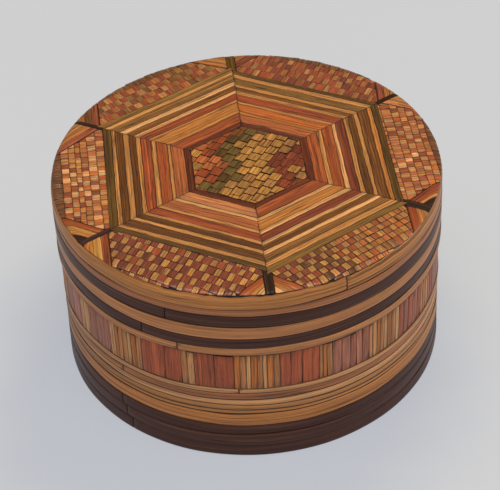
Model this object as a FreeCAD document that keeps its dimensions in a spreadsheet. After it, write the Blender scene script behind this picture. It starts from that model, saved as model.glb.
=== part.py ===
# Round lidded box, covered with straw marquetry.
#
# The box is two bentwood drums of nearly the same diameter. The base is a board let into a hoop,
# with a thinner bark sleeve glued inside that stands up as a collar. The lid is a board let into
# a hoop that drops over the collar and seats on the base hoop. Split and flattened straw covers
# both: long strips lie round the walls, short staves stand in a row under the lid, and the lid's
# top is a hexagon of mitred stripes round a stepped centre field, with bands of small tiles and
# forked corners between the hexagon and the rim.
#
# All lengths are millimetres. The origin is the centre of the underside, and +Z is up.

import FreeCAD, Part

import os
import Sketcher


# The driving sizes: name, value, meaning.
DRIVING_SIZES = [
    ("lid_radius", 70.0, "outer radius of the lid over its straw"),
    ("base_height", 49.0, "height of the base hoop, where the lid seats"),
    ("lid_hoop_height", 27.6, "height of the lid hoop at its inner edge"),
    ("shoulder_drop", 1.6, "how far the lid hoop's top slopes down to its outer edge"),
    ("straw_thickness", 0.4, "thickness of the flattened straw"),
    ("foot_straw_thickness", 0.8, "thickness of the doubled dark straw at the foot"),
    ("lid_hoop_wall", 1.6, "wall of the lid hoop"),
    ("lid_clearance", 0.3, "radial play between the lid hoop and the collar"),
    ("collar_wall", 1.6, "wall of the bark sleeve whose top is the collar"),
    ("collar_rise", 16.0, "how far the collar stands above the base hoop"),
    ("base_inset", 0.6, "how far the base's straw lies inside the lid's"),
    ("glue_gap", 0.05, "glue line between round faces of one half of the box"),
    ("base_board_thickness", 3.4, "thickness of the board in the base"),
    ("lid_board_thickness", 3.6, "thickness of the board in the lid"),
    ("foot_lift", 0.3, "how far the lowest straw stays above the table"),
    ("foot_height", 15.0, "height of the dark straw at the foot"),
    ("band_height", 17.7, "height of the band of straw between the foot and the staves"),
    ("joint_shadow", 0.2, "how far the straw stops short of the joint of lid and base"),
    ("hem_height", 3.3, "height of the straw hem at the lid's lower edge"),
    ("dark_lower_height", 4.5, "height of the lower dark strip of the lid"),
    ("tan_height", 5.0, "height of the tan strip between the dark strips"),
    ("dark_upper_height", 4.9, "height of the upper dark strip of the lid"),
    ("stave_groups", 8, "how many times the row of staves repeats round the base"),
    ("rose_stave_angle", 4.2, "angle that one rose stave takes"),
    ("plain_stave_angle", 5.0, "angle that the single plain stave takes"),
    ("stave_play", 0.15, "open joint between two staves"),
    ("pattern_turn", 4.3, "turn of the hexagon on the lid"),
    ("pattern_shift", 0.9, "how far the hexagon lies off the lid's axis"),
    ("joint_gap", 0.12, "open joint between two pieces of marquetry"),
    ("field_parts", 20.3, "centre field, in parts of the way from the centre to a side"),
    ("border_parts", 1.4, "dark border round the centre field, in the same parts"),
    ("terracotta_parts", 5.1, "terracotta stripe"),
    ("tan_inner_parts", 1.3, "first tan stripe from the centre"),
    ("orange_parts", 4.2, "orange stripe"),
    ("tan_second_parts", 1.6, "second tan stripe"),
    ("maroon_parts", 4.1, "maroon stripe"),
    ("tan_third_parts", 1.4, "third tan stripe"),
    ("brown_parts", 2.8, "brown stripe"),
    ("tan_fourth_parts", 1.5, "fourth tan stripe"),
    ("golden_parts", 3.5, "golden brown stripe"),
    ("tan_outer_parts", 1.8, "tan stripe beside the outermost one"),
    ("olive_parts", 2.9, "olive stripe, the outermost"),
    ("checker_edge", 0.6, "how far the last band of tiles stops inside the pattern's reach"),
    ("fork_depth", 7.1, "from a corner of the hexagon to the edge of the pattern"),
    ("spoke_width", 2.6, "dark spoke from each corner of the hexagon to the rim"),
    ("corner_red_width", 2.5, "red strip in a forked corner"),
    ("spoke_flare", 0.6, "depth of the flare where a spoke meets the rim"),
]

HEXAGON_SIDES = 6
HALF_SIDE_ANGLE = 30
CORNER_ANGLE = 60
CHECKER_BANDS = 6
ROSE_STAVES_IN_A_ROW = 3
NARROW_STAVES_IN_A_ROW = 5

# Each band of the centre field from west to east: the runs of colour from south to north, each
# with the place where it ends as a share of the field's apothem. The last run ends at the border.
FIELD_BANDS = [
    [("red", None)],
    [("olive", -0.35), ("red", None)],
    [("olive", -0.25), ("red", None)],
    [("gold", -0.45), ("olive", 0.10), ("red", None)],
    [("gold", -0.20), ("olive", 0.45), ("red", None)],
    [("gold", 0.30), ("olive", None)],
    [("gold", None)],
    [("maroon", -0.45), ("gold", None)],
    [("maroon", 0.00), ("gold", None)],
    [("maroon", 0.30), ("gold", None)],
]


def size(name):
    return "Sizes.%s" % name


def total(*terms):
    return "(" + " + ".join(terms) + ")"


def less(first, *terms):
    return "(" + " - ".join((first,) + terms) + ")"


# Radii that follow from the driving sizes.
LID_HOOP_OUTER = less(size("lid_radius"), size("straw_thickness"))
LID_HOOP_INNER = less(LID_HOOP_OUTER, size("lid_hoop_wall"))
COLLAR_OUTER = less(LID_HOOP_INNER, size("lid_clearance"))
COLLAR_INNER = less(COLLAR_OUTER, size("collar_wall"))
BASE_STRAW_OUTER = less(size("lid_radius"), size("base_inset"))
BASE_HOOP_OUTER = less(BASE_STRAW_OUTER, size("straw_thickness"))
BASE_HOOP_INNER = total(COLLAR_OUTER, size("glue_gap"))
BASE_BOARD_RADIUS = less(BASE_HOOP_INNER, size("glue_gap"))
LID_BOARD_RADIUS = less(LID_HOOP_INNER, size("glue_gap"))
PATTERN_REACH = less(LID_BOARD_RADIUS, size("pattern_shift"))

# Heights that follow from the driving sizes.
LID_BOARD_TOP = total(size("base_height"), size("lid_hoop_height"))
LID_BOARD_LOW = less(LID_BOARD_TOP, size("lid_board_thickness"))
SHOULDER_LOW = less(LID_BOARD_TOP, size("shoulder_drop"))
COLLAR_TOP = total(size("base_height"), size("collar_rise"))

# The mitred stripes from the centre outwards: node name and the name of its share. The hexagon's
# corners keep their depth from the rim, and the field and the stripes divide what is inside.
STRIPES = [
    ("centre_border", "border_parts"),
    ("stripe_terracotta", "terracotta_parts"),
    ("stripe_tan_inner", "tan_inner_parts"),
    ("stripe_orange", "orange_parts"),
    ("stripe_tan_second", "tan_second_parts"),
    ("stripe_maroon", "maroon_parts"),
    ("stripe_tan_third", "tan_third_parts"),
    ("stripe_brown", "brown_parts"),
    ("stripe_tan_fourth", "tan_fourth_parts"),
    ("stripe_golden", "golden_parts"),
    ("stripe_tan_outer", "tan_outer_parts"),
    ("stripe_olive", "olive_parts"),
]
HEXAGON_CORNER = less(PATTERN_REACH, size("fork_depth"))
HEXAGON_APOTHEM = "(%s * cos(%d))" % (HEXAGON_CORNER, HALF_SIDE_ANGLE)
ALL_PARTS = total(size("field_parts"), *[size(parts) for _, parts in STRIPES])
ONE_PART = "(%s / %s)" % (HEXAGON_APOTHEM, ALL_PARTS)
FIELD_APOTHEM = "(%s * %s)" % (size("field_parts"), ONE_PART)


def write_sheet(doc):
    """The spreadsheet of driving sizes, one to a row."""
    sheet = doc.addObject("Spreadsheet::Sheet", "Sizes")
    for row, (name, value, meaning) in enumerate(DRIVING_SIZES, start=1):
        sheet.set("A%d" % row, meaning)
        sheet.set("B%d" % row, str(value))
        sheet.setAlias("B%d" % row, name)
    doc.recompute()
    return sheet


def number(doc, expression):
    """The present value of an expression on the sheet."""
    value = doc.Sizes.evalExpression(expression)
    return float(getattr(value, "Value", value))


def origin_feature(body, role):
    return next(part for part in body.Origin.OriginFeatures if part.Role == role)


def polygon_sketch(body, name, plane, outlines):
    """A sketch of closed outlines. Each corner is a pair of expressions, measured from the origin."""
    sketch = body.newObject("Sketcher::SketchObject", name)
    sketch.AttachmentSupport = (origin_feature(body, plane), [""])
    sketch.MapMode = "FlatFace"
    doc = body.Document
    for outline in outlines:
        points = [FreeCAD.Vector(number(doc, x), number(doc, y), 0) for x, y in outline]
        first = sketch.GeometryCount
        count = len(points)
        for step in range(count):
            sketch.addGeometry(Part.LineSegment(points[step], points[(step + 1) % count]))
        for step in range(count):
            line = first + step
            following = first + (step + 1) % count
            sketch.addConstraint(Sketcher.Constraint("Coincident", line, 2, following, 1))
        for step, (x, y) in enumerate(outline):
            for kind, expression, value in (
                ("DistanceX", x, points[step].x),
                ("DistanceY", y, points[step].y),
            ):
                rule = Sketcher.Constraint(kind, -1, 1, first + step, 1, value)
                index = sketch.addConstraint(rule)
                sketch.setExpression("Constraints[%d]" % index, expression)
    doc.recompute()
    return sketch


def turned_ring(doc, name, section):
    """A body turned about the box's axis from a section of radius and height pairs."""
    body = doc.addObject("PartDesign::Body", name)
    sketch = polygon_sketch(body, name + "_section", "XZ_Plane", [section])
    ring = body.newObject("PartDesign::Revolution", name + "_turned")
    ring.Profile = sketch
    ring.ReferenceAxis = (sketch, ["V_Axis"])
    ring.Angle = 360
    body.Tip = ring
    return body


def band_section(inner, outer, low, high):
    return [(inner, low), (outer, low), (outer, high), (inner, high)]


def board(doc, name, radius, low, thickness):
    """A round board, padded up from its underside."""
    body = doc.addObject("PartDesign::Body", name)
    sketch = body.newObject("Sketcher::SketchObject", name + "_outline")
    sketch.AttachmentSupport = (origin_feature(body, "XY_Plane"), [""])
    sketch.MapMode = "FlatFace"
    start = number(doc, radius)
    sketch.addGeometry(Part.Circle(FreeCAD.Vector(0, 0, 0), FreeCAD.Vector(0, 0, 1), start))
    sketch.addConstraint(Sketcher.Constraint("Coincident", 0, 3, -1, 1))
    index = sketch.addConstraint(Sketcher.Constraint("Radius", 0, start))
    sketch.setExpression("Constraints[%d]" % index, radius)
    pad = body.newObject("PartDesign::Pad", name + "_pad")
    pad.Profile = sketch
    pad.setExpression("Length", thickness)
    body.setExpression("Placement.Base.z", low)
    body.Tip = pad
    return body


def padded_pieces(doc, name, outlines, low, height, copies=None):
    """Flat pieces padded up from one level, repeated round the axis where copies says so."""
    body = doc.addObject("PartDesign::Body", name)
    body.AllowCompound = True
    sketch = polygon_sketch(body, name + "_outlines", "XY_Plane", outlines)
    pad = body.newObject("PartDesign::Pad", name + "_pad")
    pad.Profile = sketch
    pad.setExpression("Length", height)
    body.Tip = pad
    body.setExpression("Placement.Base.z", low)
    doc.recompute()
    if copies is not None:
        pattern = body.newObject("PartDesign::PolarPattern", name + "_round")
        pattern.Originals = [pad]
        pattern.Axis = (origin_feature(body, "Z_Axis"), [""])
        pattern.Angle = 360
        pattern.setExpression("Occurrences", copies)
        body.Tip = pattern
    return body


def laid_marquetry(doc, name, outlines, copies=None):
    """Pieces of straw laid on the lid, turned and shifted as the hexagon is."""
    body = padded_pieces(doc, name, outlines, LID_BOARD_TOP, size("straw_thickness"), copies)
    body.Placement = FreeCAD.Placement(
        body.Placement.Base, FreeCAD.Rotation(FreeCAD.Vector(0, 0, 1), 1)
    )
    turn = size("pattern_turn")
    body.setExpression("Placement.Rotation.Angle", turn)
    body.setExpression("Placement.Base.x", "%s * cos(%s)" % (size("pattern_shift"), turn))
    body.setExpression("Placement.Base.y", "%s * sin(%s)" % (size("pattern_shift"), turn))
    return body


def turned_corner(x, y, angle):
    """A corner turned about the axis by an angle in degrees."""
    return (
        "(%s) * cos(%s) - (%s) * sin(%s)" % (x, angle, y, angle),
        "(%s) * sin(%s) + (%s) * cos(%s)" % (x, angle, y, angle),
    )


def base_walls(doc):
    """The board, the hoop and the bark sleeve of the base."""
    sleeve = band_section(COLLAR_INNER, COLLAR_OUTER, size("base_board_thickness"), COLLAR_TOP)
    hoop = band_section(BASE_HOOP_INNER, BASE_HOOP_OUTER, "0", size("base_height"))
    return [
        board(doc, "base_board", BASE_BOARD_RADIUS, "0", size("base_board_thickness")),
        turned_ring(doc, "base_hoop", hoop),
        turned_ring(doc, "collar_sleeve", sleeve),
    ]


def stack_of_bands(doc, inner, low, bands):
    """Straw bands one on the other round a hoop, and the height where the last one ends."""
    pieces = []
    for name, outer, height in bands:
        high = total(low, height)
        pieces.append(turned_ring(doc, name, band_section(inner, outer, low, high)))
        low = high
    return pieces, low


def stave_outline(centre_angle, stave_angle):
    """One flat stave standing on the base hoop, tangent to it at its middle."""
    inner = BASE_HOOP_OUTER
    outer = BASE_STRAW_OUTER
    half = "(%s * tan((%s) / 2) - %s / 2)" % (inner, stave_angle, size("stave_play"))
    return [
        turned_corner(inner, "-" + half, centre_angle),
        turned_corner(outer, "-" + half, centre_angle),
        turned_corner(outer, half, centre_angle),
        turned_corner(inner, half, centre_angle),
    ]


def base_staves(doc, low):
    """The row of upright staves: rose panels, single plain staves and narrow mixed ones."""
    rose = size("rose_stave_angle")
    plain = size("plain_stave_angle")
    group = "360 / %s" % size("stave_groups")
    panel = "%d * %s" % (ROSE_STAVES_IN_A_ROW, rose)
    narrow = "(%s - 2 * %s - %s) / %d" % (group, panel, plain, NARROW_STAVES_IN_A_ROW)
    outlines = {"rose": [], "straw": [], "amber": []}
    for panel_start in ("0", "%s + %s" % (panel, plain)):
        for step in range(ROSE_STAVES_IN_A_ROW):
            centre = "(%s + %s * %.1f)" % (panel_start, rose, step + 0.5)
            outlines["rose"].append(stave_outline(centre, rose))
    outlines["straw"].append(stave_outline("(%s + %s / 2)" % (panel, plain), plain))
    for step in range(NARROW_STAVES_IN_A_ROW):
        centre = "(2 * %s + %s + %s * %.1f)" % (panel, plain, narrow, step + 0.5)
        colour = ("amber", "straw")[step % 2]
        outlines[colour].append(stave_outline(centre, narrow))
    height = less(size("base_height"), size("joint_shadow"), low)
    return [
        padded_pieces(doc, "staves_" + colour, staves, low, height, size("stave_groups"))
        for colour, staves in outlines.items()
    ]


def base_straw(doc):
    """The straw on the base, from the foot up to the joint."""
    foot_outer = total(BASE_HOOP_OUTER, size("foot_straw_thickness"))
    bands, top = stack_of_bands(
        doc,
        BASE_HOOP_OUTER,
        size("foot_lift"),
        [
            ("foot_band", foot_outer, size("foot_height")),
            ("straw_band", BASE_STRAW_OUTER, size("band_height")),
        ],
    )
    return bands + base_staves(doc, top)


def lid_walls(doc):
    """The board and the hoop of the lid. The hoop's top slopes, and the marquetry bends over it."""
    hoop = [
        (LID_HOOP_INNER, size("base_height")),
        (LID_HOOP_OUTER, size("base_height")),
        (LID_HOOP_OUTER, SHOULDER_LOW),
        (LID_HOOP_INNER, LID_BOARD_TOP),
    ]
    return [
        board(doc, "lid_board", LID_BOARD_RADIUS, LID_BOARD_LOW, size("lid_board_thickness")),
        turned_ring(doc, "lid_hoop", hoop),
    ]


def lid_strips(doc):
    """The strips round the lid, from the hem up. The rim strip fills what the others leave."""
    strips, top = stack_of_bands(
        doc,
        LID_HOOP_OUTER,
        total(size("base_height"), size("joint_shadow")),
        [
            ("lid_hem_strip", size("lid_radius"), size("hem_height")),
            ("lid_dark_strip_lower", size("lid_radius"), size("dark_lower_height")),
            ("lid_tan_strip", size("lid_radius"), size("tan_height")),
            ("lid_dark_strip_upper", size("lid_radius"), size("dark_upper_height")),
        ],
    )
    rim = band_section(LID_HOOP_OUTER, size("lid_radius"), top, SHOULDER_LOW)
    return strips + [turned_ring(doc, "lid_rim_strip", rim)]


def hexagon_stripes(doc):
    """The rings of mitred stripes. Each is one strip, repeated on the six sides."""
    half_gap = "%s / 2" % size("joint_gap")
    rings = []
    inner = FIELD_APOTHEM
    for name, parts in STRIPES:
        outer = "(%s + %s * %s)" % (inner, size(parts), ONE_PART)
        near = total(inner, half_gap)
        far = less(outer, half_gap)
        near_half, far_half = [
            "(%s * tan(%d) - %s)" % (edge, HALF_SIDE_ANGLE, half_gap) for edge in (near, far)
        ]
        strip = [(near, "-" + near_half), (far, "-" + far_half), (far, far_half), (near, near_half)]
        rings.append(laid_marquetry(doc, name, [strip], str(HEXAGON_SIDES)))
        inner = outer
    return rings


def checker_bands(doc):
    """The bands of tiles between each side of the hexagon and the rim."""
    gap = size("joint_gap")
    reach = less(PATTERN_REACH, size("checker_edge"))
    pitch = "(%s - %s) / %d" % (reach, HEXAGON_APOTHEM, CHECKER_BANDS)
    bands = []
    for step in range(CHECKER_BANDS):
        near = "(%s + %d * %s + %s / 2)" % (HEXAGON_APOTHEM, step, pitch, gap)
        far = "(%s + %d * %s - %s / 2)" % (HEXAGON_APOTHEM, step + 1, pitch, gap)
        near_half, far_half = [
            "min((2 * {side} - {edge}) * tan({angle}) - {gap}; sqrt({reach}^2 - {edge}^2))".format(
                side=HEXAGON_APOTHEM, edge=edge, angle=HALF_SIDE_ANGLE, gap=gap, reach=PATTERN_REACH
            )
            for edge in (near, far)
        ]
        bands.append([(near, "-" + near_half), (far, "-" + far_half), (far, far_half), (near, near_half)])
    return laid_marquetry(doc, "checker_bands", bands, str(HEXAGON_SIDES))


def fork_start(offset):
    """A point on a line beside the fork: the hexagon's corner, moved square to the fork."""
    return (
        "(%s + %s * sin(%d))" % (HEXAGON_CORNER, offset, CORNER_ANGLE),
        "(0 - %s * cos(%d))" % (offset, CORNER_ANGLE),
    )


def along_fork(offset, run):
    x, y = fork_start(offset)
    return (
        "(%s + %s * cos(%d))" % (x, run, CORNER_ANGLE),
        "(%s + %s * sin(%d))" % (y, run, CORNER_ANGLE),
    )


def fork_at_height(offset, height):
    """Where a line beside the fork is at a height above the spoke's middle."""
    run = "((%s - %s) / sin(%d))" % (height, fork_start(offset)[1], CORNER_ANGLE)
    return along_fork(offset, run)


def fork_at_rim(offset):
    """Where a line beside the fork meets the pattern's reach."""
    x, y = fork_start(offset)
    half_corner = "(%s / 2)" % HEXAGON_CORNER
    root = "sqrt(%s^2 - %s^2 - %s^2 + %s^2)" % (half_corner, x, y, PATTERN_REACH)
    return along_fork(offset, "(%s - %s)" % (root, half_corner))


def below(corner):
    x, y = corner
    return x, "(0 - %s)" % y


def corner_forks(doc):
    """The spoke at each corner of the hexagon, and the red and gold strips that fork beside it."""
    gap = size("joint_gap")
    spoke_half = "(%s / 2)" % size("spoke_width")
    strip_foot = total(spoke_half, gap)
    red_near = gap
    red_far = total(red_near, size("corner_red_width"))
    gold_near = total(red_far, gap)
    spoke_tip = "sqrt(%s^2 - %s^2)" % (PATTERN_REACH, spoke_half)
    depth = "((%s - %s) * sin(%d) - %s * cos(%d))" % (
        spoke_tip, HEXAGON_CORNER, CORNER_ANGLE, spoke_half, CORNER_ANGLE
    )
    flare_near = less(depth, size("spoke_flare"))
    gold_far = less(flare_near, gap)
    upper_side = [
        fork_at_height(gap, spoke_half),
        fork_at_height(flare_near, spoke_half),
        fork_at_rim(flare_near),
        (spoke_tip, spoke_half),
    ]
    spoke = [fork_at_height(gap, "0")]
    spoke += [below(corner) for corner in upper_side]
    spoke += upper_side[::-1]
    outlines = {"corner_spokes": [spoke]}
    for name, near, far in (
        ("corner_red_strips", red_near, red_far),
        ("corner_gold_strips", gold_near, gold_far),
    ):
        strip = [
            fork_at_height(near, strip_foot),
            fork_at_height(far, strip_foot),
            fork_at_rim(far),
            fork_at_rim(near),
        ]
        outlines[name] = [strip, [below(corner) for corner in reversed(strip)]]
    forks = []
    for name, shapes in outlines.items():
        turned = [
            [turned_corner(x, y, str(HALF_SIDE_ANGLE)) for x, y in shape] for shape in shapes
        ]
        forks.append(laid_marquetry(doc, name, turned, str(HEXAGON_SIDES)))
    return forks


def centre_field(doc):
    """The stepped field inside the border: bands cut into runs of four colours."""
    apothem = FIELD_APOTHEM
    half_gap = "%s / 2" % size("joint_gap")
    middle = len(FIELD_BANDS) / 2
    outlines = {}
    for index, runs in enumerate(FIELD_BANDS):
        west, east = [
            "(%s * %.4f + %s * %d)" % (apothem, (index + side - middle) / middle, half_gap, inward)
            for side, inward in ((0, 1), (1, -1))
        ]
        ends = ["((2 * %s - abs(%s)) * tan(%d) - %s)" % (apothem, edge, HALF_SIDE_ANGLE, half_gap)
                for edge in (west, east)]
        south = ["(0 - %s)" % end for end in ends]
        for colour, share in runs:
            if share is None:
                north = ends
                following = ends
            else:
                north = ["(%s * %.2f - %s)" % (apothem, share, half_gap)] * 2
                following = ["(%s * %.2f + %s)" % (apothem, share, half_gap)] * 2
            outline = [(west, south[0]), (east, south[1]), (east, north[1]), (west, north[0])]
            outlines.setdefault(colour, []).append(outline)
            south = following
    return [
        laid_marquetry(doc, "centre_field_" + colour, shapes) for colour, shapes in outlines.items()
    ]


def check_document(doc, nodes):
    """Stops if any object failed, or a node has no valid solid."""
    for item in doc.Objects:
        if "Invalid" in item.State or "Error" in item.State:
            raise RuntimeError("%s failed: %s" % (item.Name, item.State))
    for node in nodes:
        if node.Shape.isNull() or not node.Shape.isValid() or not node.Shape.Solids:
            raise RuntimeError("%s has no valid solid" % node.Label)


def main():
    doc = FreeCAD.newDocument("straw_box")
    write_sheet(doc)
    nodes = base_walls(doc) + base_straw(doc)
    nodes += lid_walls(doc) + lid_strips(doc)
    nodes += centre_field(doc) + hexagon_stripes(doc)
    nodes += [checker_bands(doc)] + corner_forks(doc)
    doc.recompute()
    check_document(doc, nodes)
    os.makedirs("parts", exist_ok=True)
    for node in nodes:
        node.Shape.exportStep("parts/%s.step" % node.Label)
        print(node.Label, len(node.Shape.Solids), round(node.Shape.Volume, 2))


main()
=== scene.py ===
"""Looks of a round lidded box that is covered with straw marquetry.

Split and flattened straws are laid one by one on the box's boards and hoops. Each piece below is
a mesh of many straws, closed solids with bevelled edges, and every point of a straw knows where
it lies along and across the stalk, how far the cut edge is, and the dye. One finish reads that.
"""

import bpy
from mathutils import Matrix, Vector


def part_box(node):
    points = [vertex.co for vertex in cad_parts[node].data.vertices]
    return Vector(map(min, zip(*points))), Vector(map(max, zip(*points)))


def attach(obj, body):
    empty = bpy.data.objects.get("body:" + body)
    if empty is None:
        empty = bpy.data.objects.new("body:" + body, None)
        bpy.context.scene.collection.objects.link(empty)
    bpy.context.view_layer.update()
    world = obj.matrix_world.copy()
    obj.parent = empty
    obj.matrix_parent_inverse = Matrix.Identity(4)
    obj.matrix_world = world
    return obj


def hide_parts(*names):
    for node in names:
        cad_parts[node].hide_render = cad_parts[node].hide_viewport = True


bl_info = {
    "name": "Straw Box Dressing",
    "version": (1, 0, 0),
    "blender": (4, 5, 0),
    "location": "View3D > Sidebar > Straw Box",
    "description": "Lays dyed straw over a round lidded box and sets its stage",
    "category": "Object",
}

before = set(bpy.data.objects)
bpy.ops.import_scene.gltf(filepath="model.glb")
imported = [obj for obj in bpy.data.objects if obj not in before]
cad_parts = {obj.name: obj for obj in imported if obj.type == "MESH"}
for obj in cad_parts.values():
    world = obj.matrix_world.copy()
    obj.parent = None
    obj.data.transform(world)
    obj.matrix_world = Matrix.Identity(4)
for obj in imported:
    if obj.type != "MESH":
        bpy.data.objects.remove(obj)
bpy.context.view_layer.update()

import math
import random
from typing import NamedTuple

import bmesh
import bpy
import numpy as np
from bpy.props import FloatProperty, FloatVectorProperty, PointerProperty
from bpy.types import Operator, Panel, PropertyGroup
from mathutils import Matrix, Vector

MM = 0.001
TAU = 2 * math.pi
# Strength of the world as the camera sees it, which makes it as pale as the far table.
BACKDROP_GLOW = 0.71

# Levels and radii of the frame that the straw is laid on.
LID_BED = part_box("lid_board")[1].z
LID_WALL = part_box("lid_hoop")[1].x
BASE_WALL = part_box("base_hoop")[1].x
BASE_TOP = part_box("base_hoop")[1].z
HEXAGON_SIDES = 6
HALF_SIDE = math.pi / HEXAGON_SIDES
SIDE_TAN = math.tan(HALF_SIDE)

# How much of its bevel a straw's side ends below the top, and how much of it a cut end sags.
SIDE_BELOW = 0.7
END_SAG = 0.6
# How far apart points lie: across a straw, round a tile, and along a straw on the lid, in the
# lid's corners, on a stave and round a wall.
ACROSS_STEP = 0.8 * MM
TILE_STEP = 0.9 * MM
LID_STEP = 1.2 * MM
CORNER_STEP = 0.8 * MM
STAVE_STEP = 3.0 * MM
ROUND_STEP = 2.0 * MM
# How far a straw lifts and tips by chance, and how steeply a tile slopes by chance.
STRAW_TIP = 0.02 * MM
TILE_SLOPE = 0.03
# Every straw takes its grain from a place of its own in the noise, from 0 up to this.
GRAIN_SPREAD = 200
# The joint between two straws of one tile or of one stripe, as a share of the joint elsewhere.
TILE_SPLIT = 0.3
STRIPE_SPLIT = 0.4
# Tiles and chips that are cut down to less than these areas are left out.
LEAST_CHECKER = 0.35 * MM * MM
LEAST_FIELD_TILE = 0.3 * MM * MM
LEAST_CHIP = 0.2 * MM * MM


def linear(code):
    """A colour written as six hex digits, in the linear numbers that shaders use."""
    shares = [int(code[place:place + 2], 16) / 255 for place in (1, 3, 5)]
    return tuple(
        share / 12.92 if share <= 0.04045 else ((share + 0.055) / 1.055) ** 2.4 for share in shares
    )


def paint(code):
    """The same colour as a colour socket takes it."""
    return (*linear(code), 1.0)


def dye(name, description, code):
    return FloatVectorProperty(
        name=name, description=description, subtype="COLOR", size=3, min=0, max=1,
        default=linear(code),
    )


def length(name, description, millimetres):
    return FloatProperty(
        name=name, description=description, unit="LENGTH", precision=5, min=0,
        default=millimetres * MM,
    )


def angle(name, description, radians):
    return FloatProperty(name=name, description=description, subtype="ANGLE", default=radians)


def power(name, description, watts):
    return FloatProperty(
        name=name, description=description, subtype="POWER", default=watts, min=0,
    )


class StrawBoxSizes(PropertyGroup):
    thickness: length("Straw", "Thickness of a flattened straw", 0.4)
    bevel: length("Bevel", "Width of a straw's rounded edge", 0.12)
    crown: length("Crown", "How much a straw swells between its edges", 0.05)
    joint: length("Joint", "Open joint between two straws", 0.11)
    edge_wander: length("Edge wander", "How far a cut edge strays from its line", 0.16)
    wall_wander: length("Wall wander", "How far the straw on a wall stands off the hoop", 0.18)
    shoulder_start: length("Shoulder start", "Radius where the lid's straw bends down", 67.3)
    shoulder_drop: length("Shoulder drop", "How far it has bent down at the rim", 0.65)
    rim_reach: length("Rim reach", "Radius of the lid's marquetry", 69.45)
    pattern_shift: length("Pattern shift", "How far the hexagon lies off the lid's middle", 0.9)
    fork_line: length("Fork line", "Width of the dark line between tiles and corner strips", 0.26)
    fork_red: length("Red strip", "Width of the red strip in a corner", 2.4)
    field_tile: length("Field tile", "Length of a tile in the centre field", 4.4)
    pattern_turn: angle("Pattern turn", "Turn of the hexagon on the lid", math.radians(4.3))


class StrawBoxDyes(PropertyGroup):
    tan: dye("Tan", "Undyed straw, aged", "#CB8641")
    pale_tan: dye("Pale tan", "Undyed straw, lightest", "#E19E5B")
    old_tan: dye("Old tan", "Undyed straw under old varnish", "#B97A3C")
    gold: dye("Gold", "Yellow straw", "#C48539")
    amber: dye("Amber", "Orange brown straw of the base", "#AE6529")
    terracotta: dye("Terracotta", "Stripe beside the border", "#BE652F")
    pale_terracotta: dye("Pale terracotta", "The same dye, faded", "#C97A43")
    rust: dye("Rust", "The same dye, fresh", "#AC5221")
    orange: dye("Orange", "Orange stripe and tiles", "#C96823")
    golden_orange: dye("Golden orange", "Orange over gold", "#C77A31")
    brick: dye("Brick", "Red stripes and tiles", "#A1481C")
    maroon: dye("Maroon", "Darkest red", "#883C1C")
    wine: dye("Wine", "Border round the centre field", "#6C2C06")
    brown: dye("Brown", "Plain brown stripe", "#7F4815")
    golden_brown: dye("Golden brown", "Brown over gold", "#956026")
    olive: dye("Olive", "Green brown", "#8E6124")
    olive_brown: dye("Olive brown", "Brown stripe with a green cast", "#864D0C")
    dark_olive: dye("Dark olive", "Outermost stripe and spokes", "#63410A")
    moss: dye("Moss", "Green tiles of the centre field", "#70541F")
    dark_brown: dye("Dark brown", "Nearly black straw of the corner chips", "#361E0C")
    umber: dye("Umber", "Dark brown stripe", "#6F3E08")
    black_brown: dye("Black brown", "Dark straw of the walls and the foot", "#46271D")
    rose: dye("Rose", "Red staves", "#9C4B2A")
    plum: dye("Plum", "Purple red staves", "#9A5C45")
    sand: dye("Sand", "Grey tan of the base's straw", "#BE8755")
    rim_tan: dye("Rim tan", "Tan of the rim under old varnish", "#AC6E34")
    strip_tan: dye("Strip tan", "Tan of the strips round the lid", "#AC7040")
    drab: dye("Drab", "Brown tan of the base's straw", "#A66D39")
    rose_brown: dye("Rose brown", "Strip under the sill and under the rim", "#A06238")
    foot_amber: dye("Foot amber", "Strip above the foot", "#B57236")


class StrawBoxStage(PropertyGroup):
    camera_distance: length("Distance", "From the middle of the underside to the camera", 711.6)
    camera_height: angle("Height", "Angle of the camera above the table", 0.7428)
    camera_lens: FloatProperty(
        name="Lens", description="Focal length", unit="CAMERA", default=133.2, min=1,
    )
    # The next colour is painted shadow: the darker, bluer table beside the box.
    floor_painted_shadow: dye("Floor near", "Table beside the box", "#C1C4CB")
    floor_far: dye("Floor far", "Table away from the box", "#D3D3D3")
    floor_glow: FloatProperty(
        name="Floor glow", description="Share of the table's colour that no shadow darkens",
        subtype="FACTOR", default=0.75, min=0, max=1,
    )
    sky: FloatProperty(
        name="Sky", description="Strength of the light from all round", default=0.42, min=0,
    )
    key_power: power("Key light", "Power of the wide lamp above the front", 9.5)
    fill_power: power("Fill light", "Power of the wide lamp in front of the walls", 2.2)
    side_power: power("Side light", "Power of the lamp on the right", 5.0)
    glint_power: power("Glint light", "Power of the small lamp that glints on the lid's edge", 1.3)


def sizes():
    return bpy.context.scene.straw_box_sizes


def dyes():
    return bpy.context.scene.straw_box_dyes


def dyed(name, rng, spread=0.07):
    """One straw's own shade of a dye."""
    shade = 1 + rng.gauss(0, spread)
    tint = rng.gauss(0, spread / 4)
    red, green, blue = getattr(dyes(), name)
    return red * shade * (1 + tint), green * shade, blue * shade * (1 - tint)


class Wander:
    """A smooth wander of a hand-cut edge. Paces are its waves in each unit of length."""

    def __init__(self, rng, depth, paces):
        self.waves = [
            (depth * rng.uniform(0.4, 1.0) / (step + 1) ** 0.5, TAU * pace, rng.uniform(0, TAU))
            for step, pace in enumerate(paces)
        ]

    def __call__(self, where):
        return sum(depth * np.sin(pace * where + start) for depth, pace, start in self.waves)


def edge_wander(rng, share=1.0):
    """A wander along a straight edge, in waves of about 60, 25, 11 and 5 mm."""
    paces = [rng.uniform(0.8, 1.2) / (wave * MM) for wave in (60, 25, 11, 5)]
    return Wander(rng, sizes().edge_wander * share, paces)


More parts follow.
